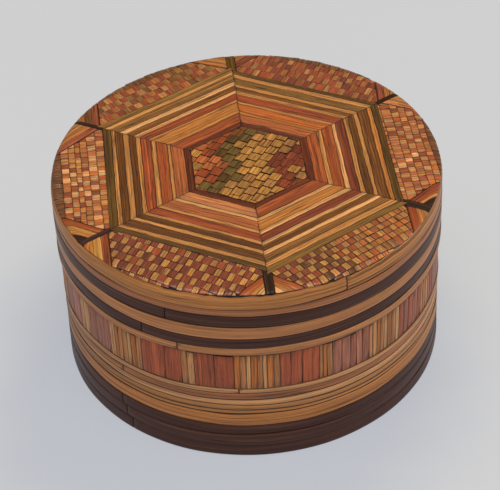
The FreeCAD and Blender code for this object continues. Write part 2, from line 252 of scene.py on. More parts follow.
def round_wander(rng, depth, waves=(2, 3, 5, 9, 17)):
    """A wander round a wall, in whole waves to a turn."""
    return Wander(rng, depth, [count / TAU for count in waves])


def blend(first, second, share):
    """Part of the way from the first value to the second."""
    return first + (second - first) * share


class Straws:
    """The straws of one piece, gathered into one mesh."""

    def __init__(self):
        self.points = []
        self.faces = []
        self.grain = []
        self.edge = []
        self.dye = []

    def add(self, points, faces, grain, edge, colour):
        first = len(self.points)
        self.points.extend(points.tolist())
        self.faces.extend([[first + corner for corner in face] for face in faces])
        self.grain.extend(grain.tolist())
        self.edge.extend(edge.tolist())
        self.dye.extend([(*colour, 1.0)] * len(points))

    def make(self, name, body, slot, finish, *nodes):
        """The piece itself, riding on its body in place of the frame's nodes."""
        mesh = bpy.data.meshes.new(name)
        mesh.from_pydata(self.points, [], self.faces)
        for key, kind, field, values in (
            ("straw", "FLOAT_VECTOR", "vector", self.grain),
            ("edge", "FLOAT", "value", self.edge),
            ("dye", "FLOAT_COLOR", "color", self.dye),
        ):
            layer = mesh.attributes.new(key, kind, "POINT")
            layer.data.foreach_set(field, np.array(values, np.float32).ravel())
        return place_piece(name, mesh, body, slot, finish, *nodes)


def place_piece(name, mesh, body, slot, finish, *nodes):
    """Tidies a mesh's normals and puts it on its body, in place of the frame's nodes."""
    edit = bmesh.new()
    edit.from_mesh(mesh)
    bmesh.ops.recalc_face_normals(edit, faces=edit.faces)
    edit.to_mesh(mesh)
    edit.free()
    mesh.shade_smooth()
    mesh.set_sharp_from_angle(angle=math.radians(50))
    mesh.materials.append(finish)
    piece = bpy.data.objects.new(name, mesh)
    bpy.context.scene.collection.objects.link(piece)
    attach(piece, body)
    if nodes:
        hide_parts(*nodes)
    return piece


def lay_straw(straws, place, long, wide, colour, rng, thick=None, step=LID_STEP, clean=(0, 0)):
    """One straw. place turns shares along and across it, and a height, into points.

    clean holds the millimetres that keep glue off its two long sides.
    """
    size = sizes()
    thick = thick or size.thickness
    bevel = min(size.bevel / wide, 0.3)
    end = min(size.bevel / long, 0.2)
    inner = np.linspace(bevel, 1 - bevel, max(3, min(7, int(wide / ACROSS_STEP))))
    across = np.concatenate(([0, 0], inner, [1, 1]))
    swell = size.crown * (1 - (2 * inner - 1) ** 2)
    side = thick - size.bevel * SIDE_BELOW
    height = np.concatenate(([0, side], thick + swell, [side, 0]))
    between = np.linspace(0, 1, max(3, int(long / step)))[1:-1]
    along = np.sort(np.concatenate(([0, end], between, [1 - end, 1])))
    share_along, share_across = np.meshgrid(along, across, indexing="ij")
    lift = np.tile(height, (len(along), 1))
    lift[1:-1, 1:-1] += rng.gauss(0, STRAW_TIP) + rng.gauss(0, STRAW_TIP) * (2 * across[1:-1] - 1)
    lift[[0, -1], 1:-1] -= size.bevel * END_SAG
    flat_along, flat_across = share_along.ravel(), share_across.ravel()
    points = place(flat_along, flat_across, lift.ravel())
    columns = len(across)
    start = np.arange(len(along) - 1)[:, None] * columns
    here = np.arange(columns)[None, :]
    following = (here + 1) % columns
    walls = np.stack([start + here, start + following,
                      start + columns + following, start + columns + here], -1).reshape(-1, 4)
    faces = walls.tolist() + [list(range(columns)), [len(points) - 1 - c for c in range(columns)]]
    along_mm, across_mm = flat_along * long / MM, flat_across * wide / MM
    seed = np.full(len(points), rng.uniform(0, GRAIN_SPREAD))
    from_side = np.minimum(across_mm + clean[0], (1 - flat_across) * wide / MM + clean[1])
    edge = np.minimum(from_side, np.minimum(flat_along, 1 - flat_along) * long / MM)
    straws.add(points, faces, np.stack([along_mm, across_mm, seed], -1), edge, colour)


def clipped(outline, through, inward):
    """The part of a convex outline on the inward side of a line through a point."""
    kept = []
    for step, corner in enumerate(outline):
        following = outline[(step + 1) % len(outline)]
        here = float(np.dot(corner - through, inward))
        there = float(np.dot(following - through, inward))
        if here >= 0:
            kept.append(corner)
        if here * there < 0:
            kept.append(corner + (following - corner) * here / (here - there))
    return kept


def outline_area(outline):
    """The area inside an outline, below zero where it runs clockwise."""
    corners = np.array(outline)
    following = np.roll(corners, -1, axis=0)
    return 0.5 * float(np.sum(corners[:, 0] * following[:, 1] - following[:, 0] * corners[:, 1]))


def from_lines(points, outline):
    """How far points lie from the nearest side of an outline."""
    nearest = np.full(len(points), np.inf)
    for corner, following in zip(outline, list(outline[1:]) + [outline[0]]):
        way = following - corner
        off = points - corner
        far = max(float(np.linalg.norm(way)), 1e-9)
        gap = np.abs(way[0] * off[:, 1] - way[1] * off[:, 0]) / far
        nearest = np.minimum(nearest, gap)
    return nearest


def split_tile(first, last, parts, gap):
    """Where each of a tile's straws starts and ends, with tight joints between them."""
    for part in range(parts):
        start = blend(first, last, part / parts)
        end = blend(first, last, (part + 1) / parts)
        yield (
            start + (gap if part == 0 else gap * TILE_SPLIT),
            end - (gap if part == parts - 1 else gap * TILE_SPLIT),
        )


def lay_tile(straws, place, outline, grain_angle, colour, rng,
             rise=0.0, clean=0.0, lean=(0, 0), border=None):
    """One flat tile with a convex outline, bevelled and a little tipped. place takes x, y, height.

    border is the outline of the whole tile where this is one straw of it. Glue lies only there.
    """
    size = sizes()
    if outline_area(outline) < 0:
        outline = outline[::-1]
    ring = []
    for step, corner in enumerate(outline):
        following = outline[(step + 1) % len(outline)]
        pieces = max(1, math.ceil(float(np.linalg.norm(following - corner)) / TILE_STEP))
        ring.extend(blend(corner, following, share / pieces) for share in range(pieces))
    ring = np.array(ring)
    middle = ring.mean(axis=0)
    nearest = float(from_lines(middle[None], outline)[0])
    bevel = min(size.bevel, nearest * 0.4)
    inset = 1 - bevel / nearest
    count = len(ring)
    thick = size.thickness + rise
    peak = thick + size.crown
    rings = [(1.0, 0.0), (1.0, thick - bevel * SIDE_BELOW), (inset, thick), (0.5, peak)]
    flat = np.concatenate([middle + (ring - middle) * scale for scale, _ in rings] + [middle[None]])
    lift = np.concatenate([np.full(count, height) for _, height in rings] + [[peak]])
    slope = np.array(lean) + np.array([rng.gauss(0, TILE_SLOPE), rng.gauss(0, TILE_SLOPE)])
    lift[count:] += (flat[count:] - middle) @ slope
    points = place(flat[:, 0], flat[:, 1], lift)
    faces = [list(range(count))[::-1]]
    for level in range(len(rings) - 1):
        for here in range(count):
            following = (here + 1) % count
            low, high = level * count, (level + 1) * count
            faces.append([low + here, low + following, high + following, high + here])
    top = (len(rings) - 1) * count
    faces += [[top + here, top + (here + 1) % count, len(points) - 1] for here in range(count)]
    stalk = np.array([math.cos(grain_angle), math.sin(grain_angle)])
    side = np.array([-stalk[1], stalk[0]])
    seed = np.full(len(points), rng.uniform(0, GRAIN_SPREAD))
    grain = np.stack([(flat - middle) @ stalk / MM, (flat - middle) @ side / MM, seed], -1)
    edge = from_lines(flat, outline if border is None else border) / MM + clean
    straws.add(points, faces, grain, edge, colour)


def on_lid(x, y, lift):
    """Points on the lid, flat in the middle and bent down over the shoulder."""
    size = sizes()
    radius = np.hypot(x, y)
    run = size.rim_reach - size.shoulder_start
    share = np.clip(radius - size.shoulder_start, 0, None) / run
    tilt = np.arctan(2 * size.shoulder_drop * share / run)
    reach = radius + lift * np.sin(tilt)
    scale = reach / np.maximum(radius, 1e-9)
    height = LID_BED - size.shoulder_drop * share * share + lift * np.cos(tilt)
    return np.stack([x * scale, y * scale, height], -1)


def pattern_middle():
    """The middle of the hexagon, which lies a little off the lid's."""
    size = sizes()
    turn = size.pattern_turn
    return size.pattern_shift * math.cos(turn), size.pattern_shift * math.sin(turn)


class Ray:
    """A direction from the pattern's middle. Places lie so far out from its start and beside it."""

    def __init__(self, turn, start=0.0):
        self.angle = turn
        self.start = start

    def flat(self, out, beside):
        x, y = pattern_middle()
        cos, sin = math.cos(self.angle), math.sin(self.angle)
        out = out + self.start
        return x + out * cos - beside * sin, y + out * sin + beside * cos

    def point(self, out, beside):
        return np.array(self.flat(out, beside))


class Sector(Ray):
    """One side of the hexagon: how far out, and how far along the side."""

    def __init__(self, index):
        super().__init__(sizes().pattern_turn + index * TAU / HEXAGON_SIDES)


# The mitred stripes from the centre outwards. Each has the node that it stands for, its width in
# millimetres on every side of the hexagon, how many straws lie side by side in it, and its dyes.
# The sides run counter-clockwise from the east one.
FIELD_APOTHEM = 19.8 * MM
STRIPES = [
    ("centre_border", "border_straw", (2.6, 2.4, 2.4, 2.4, 2.4, 1.9), 2, ["wine"] * 6),
    ("stripe_terracotta", "terracotta_straw", (4.3, 4.3, 4.8, 4.6, 4.5, 5.0), 2,
     ["rust", "terracotta", "rust", "terracotta", "pale_terracotta", "rust"]),
    ("stripe_tan_inner", "tan_straw", (1.8, 1.6, 2.0, 1.3, 1.7, 1.8), 1,
     ["tan", "golden_orange", "golden_orange", "tan", "pale_tan", "pale_tan"]),
    ("stripe_orange", "orange_straw", (3.9, 4.1, 4.4, 3.9, 4.1, 4.1), 3,
     ["rust", "orange", "golden_orange", "rust", "terracotta", "golden_orange"]),
    ("stripe_tan_second", "tan_straw", (1.6, 1.5, 1.2, 1.9, 1.5, 2.0), 1,
     ["pale_tan", "tan", "tan", "tan", "tan", "pale_tan"]),
    ("stripe_maroon", "maroon_straw", (3.2, 3.9, 3.5, 3.6, 3.6, 3.3), 2,
     ["maroon", "brick", "brick", "brick", "brick", "maroon"]),
    ("stripe_tan_third", "tan_straw", (1.8, 1.9, 1.8, 1.7, 1.6, 1.8), 2,
     ["tan", "tan", "pale_tan", "tan", "tan", "pale_tan"]),
    ("stripe_brown", "brown_straw", (2.5, 2.0, 2.7, 2.3, 2.5, 2.5), 2,
     ["umber", "olive_brown", "olive_brown", "umber", "umber", "olive_brown"]),
    ("stripe_tan_fourth", "tan_straw", (1.6, 1.8, 2.3, 2.2, 1.7, 2.1), 1,
     ["tan", "tan", "pale_tan", "old_tan", "tan", "pale_tan"]),
    ("stripe_golden", "golden_brown_straw", (3.6, 3.4, 3.2, 2.7, 3.4, 2.9), 3,
     ["brown", "olive", "golden_brown", "umber", "umber", "golden_brown"]),
    ("stripe_tan_outer", "tan_straw", (1.8, 2.3, 2.3, 1.5, 2.0, 2.4), 2,
     ["golden_orange", "tan", "tan", "tan", "tan", "tan"]),
    ("stripe_olive", "olive_straw", (2.6, 2.1, 2.7, 3.1, 2.2, 2.8), 2,
     ["dark_olive", "dark_olive", "olive", "dark_olive", "dark_olive", "olive"]),
]


def side_reach(side):
    """How far the stripes reach from the middle of the pattern on one side."""
    return FIELD_APOTHEM + sum(widths[side] for _, _, widths, _, _ in STRIPES) * MM


HEXAGON_APOTHEM = sum(side_reach(side) for side in range(HEXAGON_SIDES)) / HEXAGON_SIDES


class Band(NamedTuple):
    """How the tiles beside one side of the hexagon are cut and dyed. Sizes are in millimetres."""

    rows: tuple  # heights of the rows
    light: float  # width of a light tile
    dark: float  # width of a dark tile
    lights: tuple  # dyes of the light tiles
    darks: tuple
    slope: float = 0.0  # of the rows, against the side
    # The rim dye paints shade: the last row, where it bends down over the shoulder, is darker.
    rim: str = ""  # dye of the last row, where it bends down
    clean: float = 0.0  # keeps glue out of the joints
    split: float = 0.2  # how often a light tile is made of several straws
    left_lights: tuple = ()  # dyes towards the left end, where they differ
    left_darks: tuple = ()


# The bands of tiles, counter-clockwise from the east side. Those on the sides and at the back give
# a rim dye: a brown that paints shade on the last row, where it bends down over the shoulder.
BANDS = [
    Band((1.7, 3.4, 2.7, 2.7, 2.7, 2.4, 4.0), 2.8, 2.6,
         ("tan", "pale_tan", "golden_orange", "pale_terracotta"), ("rust", "terracotta", "orange"),
         slope=-0.02, rim="brown", clean=0.05,
         left_lights=("old_tan", "golden_orange", "tan"),
         left_darks=("rust", "brick", "terracotta")),
    Band((4.0, 4.0, 3.4, 3.0, 4.0), 2.2, 3.7,
         ("old_tan", "old_tan", "amber"), ("brick", "brick", "maroon"),
         rim="brown", clean=0.14, split=0.5),
    Band((3.2, 3.1, 3.2, 3.2, 4.0), 2.9, 2.5,
         ("amber", "golden_brown", "old_tan"), ("brick", "brown", "brick"),
         rim="brown", clean=0.24, split=0.3),
    Band((3.2, 3.1, 2.5, 2.0, 2.4, 2.9, 4.0), 2.9, 2.7,
         ("pale_tan", "tan", "pale_tan", "golden_orange"),
         ("terracotta", "brick", "orange", "rust", "golden_orange"),
         slope=-0.024, rim="brown", clean=0.05),
    Band((2.4, 3.7, 3.7, 3.8, 3.6, 3.6, 3.6), 2.4, 2.9,
         ("gold", "old_tan", "tan"), ("brick", "maroon", "maroon"),
         slope=0.10, clean=0.03, split=0.6),
    Band((2.6, 3.0, 2.9, 2.9, 3.5, 3.6), 2.5, 2.4,
         ("gold", "old_tan", "old_tan"), ("maroon", "brick", "brown"),
         left_lights=("golden_orange", "gold", "old_tan"),
         left_darks=("terracotta", "rust", "amber")),
]
# How long the bands are at least, in millimetres, and how far along them sloping rows start.
BAND_LENGTH = 66
BAND_RISE = 26
# Over this length the dyes of a band's left end give way to those of the other.
TURNOVER = 24 * MM

# How the strips beside each corner's spoke fork from it, counter-clockwise from the north-east
# corner, first on the spoke's clockwise side and then on the other: the angle from the spoke in
# degrees, the dyes from the tiles inwards, and whether a broad dark chip fills the rest.
FORKS = [
    ((57, ("pale_terracotta", "old_tan", "tan"), False), (57, ("rose", "amber", "old_tan"), False)),
    ((55, ("rose", "amber", "old_tan"), False), (64, ("amber", "old_tan", "amber"), False)),
    ((59, ("rose", "brown", "amber"), False), (70, ("rose", "amber", "old_tan"), False)),
    ((63, ("rust", "gold", "golden_orange"), True), (62, ("brick", "gold", "golden_orange"), False)),
    ((50, ("rust", "golden_orange", "pale_tan"), False),
     (54, ("rust", "golden_orange", "pale_tan"), False)),
    ((60, ("brick", "amber", "old_tan"), False), (67, ("brick", "brick", "old_tan"), True)),
]
# The depth that the strips leave to a narrow chip and to a broad one.
CHIP_ROOM = (0.4 * MM, 3.0 * MM)

# The width of each corner's spoke in millimetres, and its dye.
SPOKES = [
    (1.8, "dark_brown"), (3.4, "dark_olive"), (1.7, "dark_brown"),
    (1.9, "black_brown"), (3.2, "dark_brown"), (3.2, "dark_brown"),
]


class Shade:
    """A shader socket that takes part in Python arithmetic by adding the nodes that work it out."""

    def __init__(self, finish, socket):
        self.finish = finish
        self.socket = socket

    def maths(self, operation, *values):
        return self.finish.add("Math", {"operation": operation}, dict(enumerate(values)))

    def __add__(self, other):
        return self.maths("ADD", self, other)

    def __sub__(self, other):
        return self.maths("SUBTRACT", self, other)

    def __rsub__(self, other):
        return self.maths("SUBTRACT", other, self)

    def __mul__(self, other):
        return self.maths("MULTIPLY", self, other)

    def __abs__(self):
        return self.maths("ABSOLUTE", self)

    __radd__ = __add__
    __rmul__ = __mul__


class Finish:
    """A material or world in the making. add() takes a node's type, settings and sockets."""

    def __init__(self, owner):
        self.owner = owner
        owner.use_nodes = True
        self.tree = owner.node_tree
        self.tree.nodes.clear()

    @classmethod
    def named(cls, name):
        return cls(bpy.data.materials.new(name))

    def add(self, kind, settings=None, sockets=None, output=0):
        node = self.tree.nodes.new("ShaderNode" + kind)
        for key, value in (settings or {}).items():
            setattr(node, key, value)
        for key, value in (sockets or {}).items():
            if isinstance(value, Shade):
                self.tree.links.new(value.socket, node.inputs[key])
            else:
                node.inputs[key].default_value = value
        return Shade(self, node.outputs[output])

    def parts(self, vector):
        """The three numbers of a vector."""
        first = self.add("SeparateXYZ", {}, {0: vector})
        return [Shade(self, output) for output in first.socket.node.outputs]

    def noise(self, x, y, z, detail=2.0, roughness=0.55):
        where = self.add("CombineXYZ", {}, {0: x, 1: y, 2: z})
        sockets = {"Vector": where, "Scale": 1.0, "Detail": detail, "Roughness": roughness}
        return self.add("TexNoise", {}, sockets)

    def smooth(self, value, low, high):
        """0 below low, 1 above high, and a soft step between them."""
        sockets = {0: value, 1: low, 2: high, 3: 0.0, 4: 1.0}
        return self.add("MapRange", {"interpolation_type": "SMOOTHSTEP"}, sockets)

    def mix(self, factor, first, second):
        return self.add("Mix", {"data_type": "RGBA"}, {0: factor, 6: first, 7: second}, 2)

    def scaled(self, colour, factor):
        return self.add("VectorMath", {"operation": "SCALE"}, {"Vector": colour, "Scale": factor})

    def surface(self, colour, roughness, height, distance, **constants):
        """A glossy shader with a bump of that height, in metres."""
        sockets = {"Height": height, "Distance": distance, "Strength": 1.0}
        bump = self.add("Bump", {}, sockets, "Normal")
        sockets = {"Base Color": colour, "Roughness": roughness, "Normal": bump}
        sockets.update({name.replace("_", " "): value for name, value in constants.items()})
        return self.add("BsdfPrincipled", {}, sockets)

    def done(self, surface, kind="Material"):
        end = self.tree.nodes.new("ShaderNodeOutput" + kind)
        self.tree.links.new(surface.socket, end.inputs["Surface"])
        return self.owner


GLUE = paint("#24140A")
WORN = paint("#E0B070")
GRIME = paint("#3A2414")


class StrawLook(NamedTuple):
    """One finish of straw."""

    gloss: float  # the roughness of its smoothest fibres
    wear: float  # how far the dye is worn off on the ribs
    lines: float  # how dark the splits are
    patina: float  # how much old dirt there is
    varnish: float
    joint_dirt: float = 0.8  # how dark the glue in the joints is
    stretch: float = 1.0  # below 1 where the fibres run longer
    shine: float = 0.3
    relief: float = 0.03  # depth of the bump in millimetres


STRAW_LOOKS = {
    "stripe_straw": StrawLook(0.36, 0.22, 0.75, 0.24, 0.10, joint_dirt=0.65),
    "tile_straw": StrawLook(0.30, 0.28, 0.65, 0.38, 0.50),
    "field_straw": StrawLook(0.40, 0.15, 0.90, 0.52, 0.10, joint_dirt=0.95),
    "stave_straw": StrawLook(0.42, 0.12, 0.50, 0.20, 0.12, joint_dirt=0.65),
    "wall_straw": StrawLook(0.40, 0.14, 0.65, 0.26, 0.14, stretch=0.35, relief=0.08),
    "dark_wall_straw": StrawLook(
        0.38, 0.14, 0.70, 0.10, 0.14, stretch=0.35, shine=0.14, relief=0.10,
    ),
}


def straw_finish(name):
    """Flattened straw: long fibres, dark splits, dye worn off on the ribs, and old dirt."""
    if name in bpy.data.materials:
        return bpy.data.materials[name]
    look = STRAW_LOOKS[name]
    finish = Finish.named(name)
    place = finish.add("Attribute", {"attribute_name": "straw"}, output="Vector")
    edge = finish.add("Attribute", {"attribute_name": "edge"}, output="Fac")
    colour = finish.add("Attribute", {"attribute_name": "dye"}, output="Color")
    along, across, straw = finish.parts(place)
    along = along * look.stretch
    fibres = finish.noise(along * 0.09, across * 3.6, straw, detail=3.0, roughness=0.65)
    streaks = finish.noise(along * 0.028, across * 1.25, straw + 31.0, detail=2.0)
    patches = finish.noise(along * 0.12, across * 0.30, straw + 57.0, detail=3.0)
    splitting = finish.noise(along * 0.020, across * 0.80, straw + 83.0, detail=1.0)
    split = 1.0 - finish.smooth(abs(splitting - 0.5), 0.0, 0.045)
    split = split * finish.smooth(patches, 0.30, 0.60)
    tone = 1.0 + (fibres - 0.5) * 1.5 + (streaks - 0.5) * 1.3 + (patches - 0.5) * 0.6
    body = finish.scaled(colour, tone)
    worn = finish.smooth(streaks, 0.50, 0.72) * finish.smooth(fibres, 0.45, 0.70)
    body = finish.mix(worn * look.wear, body, WORN)
    grimy = finish.noise(along * 0.30, across * 0.9, straw + 117.0, detail=4.0, roughness=0.7)
    body = finish.mix(finish.smooth(grimy, 0.50, 0.75) * look.patina, body, GRIME)
    body = finish.mix(split * look.lines, body, GLUE)
    body = finish.mix((1.0 - finish.smooth(edge, 0.02, 0.22)) * look.joint_dirt, body, GLUE)
    roughness = look.gloss + (1.0 - fibres) * 0.20 + split * 0.15
    height = fibres * 0.6 + streaks * 0.5 - split * 0.5
    return finish.done(finish.surface(
        body, roughness, height, look.relief * MM, Specular_IOR_Level=look.shine,
        Coat_Weight=look.varnish, Coat_Roughness=0.14,
    ))


def distance(finish, x, y):
    """How far a point lies from the axis x = y = 0."""
    flat = finish.add("CombineXYZ", {}, {0: x, 1: y, 2: 0.0})
    return finish.add("VectorMath", {"operation": "LENGTH"}, {0: flat}, "Value")


def object_place(finish):
    """Where a point lies on the box at rest, in millimetres, and how far from its axis."""
    where = finish.add("TexCoord", {}, {}, "Object")
    x, y, z = finish.parts(finish.scaled(where, 1 / MM))
    return x, y, z, distance(finish, x, y)


# How far the chamfer of the lid's hoop reaches in and down, in millimetres.
HOOP_CHAMFER = 1.6


def wood_body(finish, grain, pores, pale, dark):
    """Pale wood with darker grain and pores."""
    body = finish.mix(finish.smooth(grain, 0.35, 0.68), paint(pale), paint(dark))
    return finish.mix((1.0 - finish.smooth(pores, 0.30, 0.45)) * 0.45, body, paint(dark))


def at_face(finish, where, face):
    """1 on a face that lies that many millimetres out, and 0 from a tenth of one under it."""
    return finish.smooth(where, face - 0.10, face - 0.02)


def board_finish():
    """Sawn pale wood, with brown glue where straw is laid on the lid's board."""
    finish = Finish.named("board_wood")
    x, y, z, _ = object_place(finish)
    grain = finish.noise(x * 0.035, y * 0.55, z * 0.1, detail=4.0, roughness=0.6)
    pores = finish.noise(x * 0.12, y * 3.5, z * 0.5 + 9.0, detail=2.0)
    body = wood_body(finish, grain, pores, "#C9A57A", "#94683F")
    body = finish.mix(at_face(finish, z, LID_BED / MM), body, GLUE)
    return finish.done(finish.surface(body, 0.62 + grain * 0.15, pores, 0.05 * MM))


def hoop_finish():
    """Bent pale wood whose grain runs round, glue-brown where straw is laid on it."""
    finish = Finish.named("hoop_wood_bent")
    x, y, z, radius = object_place(finish)
    angle = y.maths("ARCTAN2", y, x)
    grain = finish.noise(angle * 3.0, z * 0.8, radius * 0.5, detail=4.0, roughness=0.6)
    pores = finish.noise(angle * 9.0, z * 4.5, radius * 0.5 + 9.0, detail=2.0)
    body = wood_body(finish, grain, pores, "#BE9666", "#855A36")
    under_top = 1.0 - finish.smooth(z, BASE_TOP / MM - 0.02, BASE_TOP / MM)
    on_base = at_face(finish, radius, BASE_WALL / MM) * under_top
    on_lid = at_face(finish, radius, LID_WALL / MM)
    chamfer = LID_BED / MM + LID_WALL / MM - HOOP_CHAMFER
    on_chamfer = finish.smooth(z + radius, chamfer - 0.2, chamfer - 0.05)
    glued = on_base.maths("MAXIMUM", on_base.maths("MAXIMUM", on_lid, on_chamfer), on_base)
    body = finish.mix(glued, body, GLUE)
    return finish.done(finish.surface(body, 0.6 + grain * 0.15, pores, 0.05 * MM))


def bark_finish():
    """Smooth inner bark with long dark pores that run round the sleeve."""
    finish = Finish.named("bark")
    place = finish.add("Attribute", {"attribute_name": "straw"}, output="Vector")
    edge = finish.add("Attribute", {"attribute_name": "edge"}, output="Fac")
    along, across, _ = finish.parts(place)
    mottle = finish.noise(along * 0.06, across * 0.16, 3.0, detail=4.0)
    layers = finish.noise(along * 0.02, across * 1.6, 11.0, detail=3.0)
    pores = finish.noise(along * 0.13, across * 1.15, 23.0, detail=1.0)
    pore = finish.smooth(pores, 0.66, 0.72)
    ground = finish.smooth(mottle, 0.3, 0.7)
    body = finish.mix(ground, paint("#C99A6A"), paint("#A26E44"))
    body = finish.mix(finish.smooth(layers, 0.55, 0.7) * 0.35, body, WORN)
    body = finish.mix(pore * 0.8, body, paint("#4A2E20"))
    body = finish.mix((1.0 - finish.smooth(edge, 0.05, 0.5)) * 0.4, body, paint("#6E4A30"))
    return finish.done(finish.surface(body, 0.5 + mottle * 0.15, layers * 0.5 - pore, 0.08 * MM))


# Painted shadow on the table, darker and bluer: how far its middle lies to the left of the box's
# and in front of it, where it starts and ends to fade, and how uneven that is, in millimetres.
SHADOW_MIDDLE = (15.0, 35.0)
SHADOW_REACH = (62.0, 118.0)
SHADOW_CLOUD = 30.0


def floor_finish():
    """Pale paper, with a darker and bluer painted shadow in front of the box, that shows the box's
    cast shadow softly.
    """
    stage = bpy.context.scene.straw_box_stage
    finish = Finish.named("floor_paper")
    x, y, _, _ = object_place(finish)
    tooth = finish.noise(x * 0.9, y * 0.9, 0.0, detail=3.0, roughness=0.7)
    cloud = finish.noise(x * 0.02, y * 0.02, 5.0, detail=2.0)
    left, ahead = SHADOW_MIDDLE
    away = distance(finish, x + left, y + ahead) + (cloud - 0.5) * SHADOW_CLOUD
    share = finish.smooth(away, *SHADOW_REACH)
    # Painted shadow: towards the box the paper turns to the darker, bluer shadow colour.
    paper = finish.mix(share, (*stage.floor_painted_shadow, 1.0), (*stage.floor_far, 1.0))
    paper = finish.scaled(paper, 1.0 + (tooth - 0.5) * 0.05)
    lit = finish.surface(paper, 0.85 + tooth * 0.1, tooth, 0.04 * MM, Specular_IOR_Level=0.2)
    plain = finish.add("Emission", {}, {"Color": paper})
    path = finish.add("LightPath", {}, {}, "Is Camera Ray")
    rays = path + Shade(finish, path.socket.node.outputs["Is Glossy Ray"])
    rays = rays + Shade(finish, path.socket.node.outputs["Is Transmission Ray"])
    return finish.done(finish.add("MixShader", {}, {0: rays * stage.floor_glow, 1: lit, 2: plain}))


class StrawBoxStep(Operator):
    """One step of the dressing"""

    bl_options = {"REGISTER", "UNDO"}


class STRAWBOX_OT_finish_carcass(StrawBoxStep):
    """Give the boards and hoops of the frame their wood"""

    bl_idname = "straw_box.finish_carcass"
    bl_label = "Finish boards and hoops"

    def execute(self, context):
        for part, finish in (("board", board_finish()), ("hoop", hoop_finish())):
            for body in ("base", "lid"):
                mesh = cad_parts[f"{body}_{part}"].data
                mesh.materials.clear()
                mesh.materials.append(finish)
        return {"FINISHED"}


# What is left open where the two ends of a strip meet.
END_JOINT = 0.25 * MM
# How unevenly the strips round the walls, the staves and the tiles of the bands are dyed.
STRIP_SPREAD = 0.02
STAVE_SPREAD = 0.09
TILE_SPREAD = 0.10
# The millimetres that keep glue off the long sides of the strips of the foot and the corners.
STRIP_CLEAN = (0.12, 0.12)
# Strips beside a spoke that would be narrower than this are left out.
LEAST_STRIP = 0.2 * MM
# About how long a spoke is.
SPOKE_LENGTH = 10 * MM


def wall_place(wall, low, high, wander, first=0.0, turn=TAU, lean=None):
    """Places a straw that lies round a wall, from the angle first through a turn."""

    def place(along, across, lift):
        angle = first + along * turn
        height = blend(low(angle), high(angle), across)
        radius = wall + wander(angle) + lift
        if lean is not None:
            radius = radius + lean(angle, height)
        return np.stack([radius * np.cos(angle), radius * np.sin(angle), height], -1)

    return place


def lay_round(name, wall, lower, upper, joint, seam, tint, node, slot, body, rng,
              proud=0.0, look="wall_straw", lean=None, clean=(0, 0)):
    """A strip all the way round a wall, whose ends meet at a seam.

    lower and upper are each the level and the wander of an edge, and joint is what strips leave
    open between them. How far the strip stands proud is in millimetres.
    """
    straws = Straws()
    gap = END_JOINT / wall
    half_wander = sizes().wall_wander * 0.5
    wander = round_wander(rng, half_wander)

    def low(angle):
        return lower[0] + joint / 2 + lower[1](angle)

    def high(angle):
        return upper[0] - joint / 2 + upper[1](angle)

    stand = half_wander + proud * MM
    place = wall_place(
        wall + stand, low, high, wander, math.radians(seam) + gap / 2, TAU - gap, lean,
    )
    colour = dyed(tint, rng, STRIP_SPREAD)
    wide = float(high(0.0) - low(0.0))
    lay_straw(straws, place, TAU * wall, wide, colour, rng, step=ROUND_STEP, clean=clean)
    return straws.make(name, body, slot, straw_finish(look), node)


class STRAWBOX_OT_lay_sleeve(StrawBoxStep):
    """Set the bark sleeve whose top is the collar inside the base"""

    bl_idname = "straw_box.lay_sleeve"
    bl_label = "Lay bark sleeve"

    def execute(self, context):
        rng = random.Random("sleeve")
        low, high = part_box("collar_sleeve")
        outer = high.x
        wall = 1.5 * MM
        inset = 0.05 * MM
        seam, gap = 0.7, 0.004
        rim = round_wander(rng, 0.12 * MM)
        straws = Straws()
        place = wall_place(
            outer - wall - inset, lambda angle: low.z + 0 * angle,
            lambda angle: high.z + rim(angle), lambda angle: 0.0, seam, TAU - gap,
        )
        lay_straw(straws, place, TAU * outer, high.z - low.z, (1, 1, 1), rng,
                  thick=wall - inset, step=ROUND_STEP)
        straws.make("bark_sleeve", "base", "bark_sleeve", bark_finish(), "collar_sleeve")
        return {"FINISHED"}


class STRAWBOX_OT_lay_foot(StrawBoxStep):
    """Lay the three dark strips round the foot of the base"""

    bl_idname = "straw_box.lay_foot"
    bl_label = "Lay foot strips"

    def execute(self, context):
        rng = random.Random("foot")
        low, high = (corner.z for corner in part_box("foot_band"))
        levels = [low, 5.6 * MM, 10.9 * MM, high]
        edges = list(zip(levels, [round_wander(rng, 0.12 * MM) for _ in levels]))
        edges[0] = (low, lambda angle: 0.0 * angle)
        strips = (
            ("foot_strip_low", -130.0, 0.28), ("foot_strip_middle", -132.0, 0.34),
            ("foot_strip_top", -133.5, 0.22),
        )
        for step, (name, seam, proud) in enumerate(strips):
            lay_round(
                name, BASE_WALL, edges[step], edges[step + 1], 0.07 * MM, seam, "black_brown",
                "foot_band", "dark_straw", "base", rng, proud, "dark_wall_straw",
                clean=STRIP_CLEAN,
            )
        return {"FINISHED"}


class STRAWBOX_OT_lay_band(StrawBoxStep):
    """Lay the plain strips between the foot and the staves"""

    bl_idname = "straw_box.lay_band"
    bl_label = "Lay band strips"

    def execute(self, context):
        rng = random.Random("band")
        low, high = (corner.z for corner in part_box("straw_band"))
        strips = (
            ("band_amber_strip", 21.0, "foot_amber", 0.10), ("band_thin_strip", 22.6, "drab", 0.0),
            ("band_drab_strip", 25.1, "drab", 0.05), ("band_tan_strip", 27.7, "sand", 0.0),
            ("band_rose_strip", 30.7, "rose_brown", 0.0),
            ("band_sill_strip", high / MM, "sand", 0.16),
        )
        first_seam, seam_turn = 80.0, 37.0
        edge = (low, round_wander(rng, 0.10 * MM))
        for step, (name, top, tint, proud) in enumerate(strips):
            following = (top * MM, round_wander(rng, 0.16 * MM))
            lay_round(
                name, BASE_WALL, edge, following, 0.22 * MM, first_seam + seam_turn * step, tint,
                "straw_band", "plain_band_straw", "base", rng, proud,
            )
            edge = following
        return {"FINISHED"}


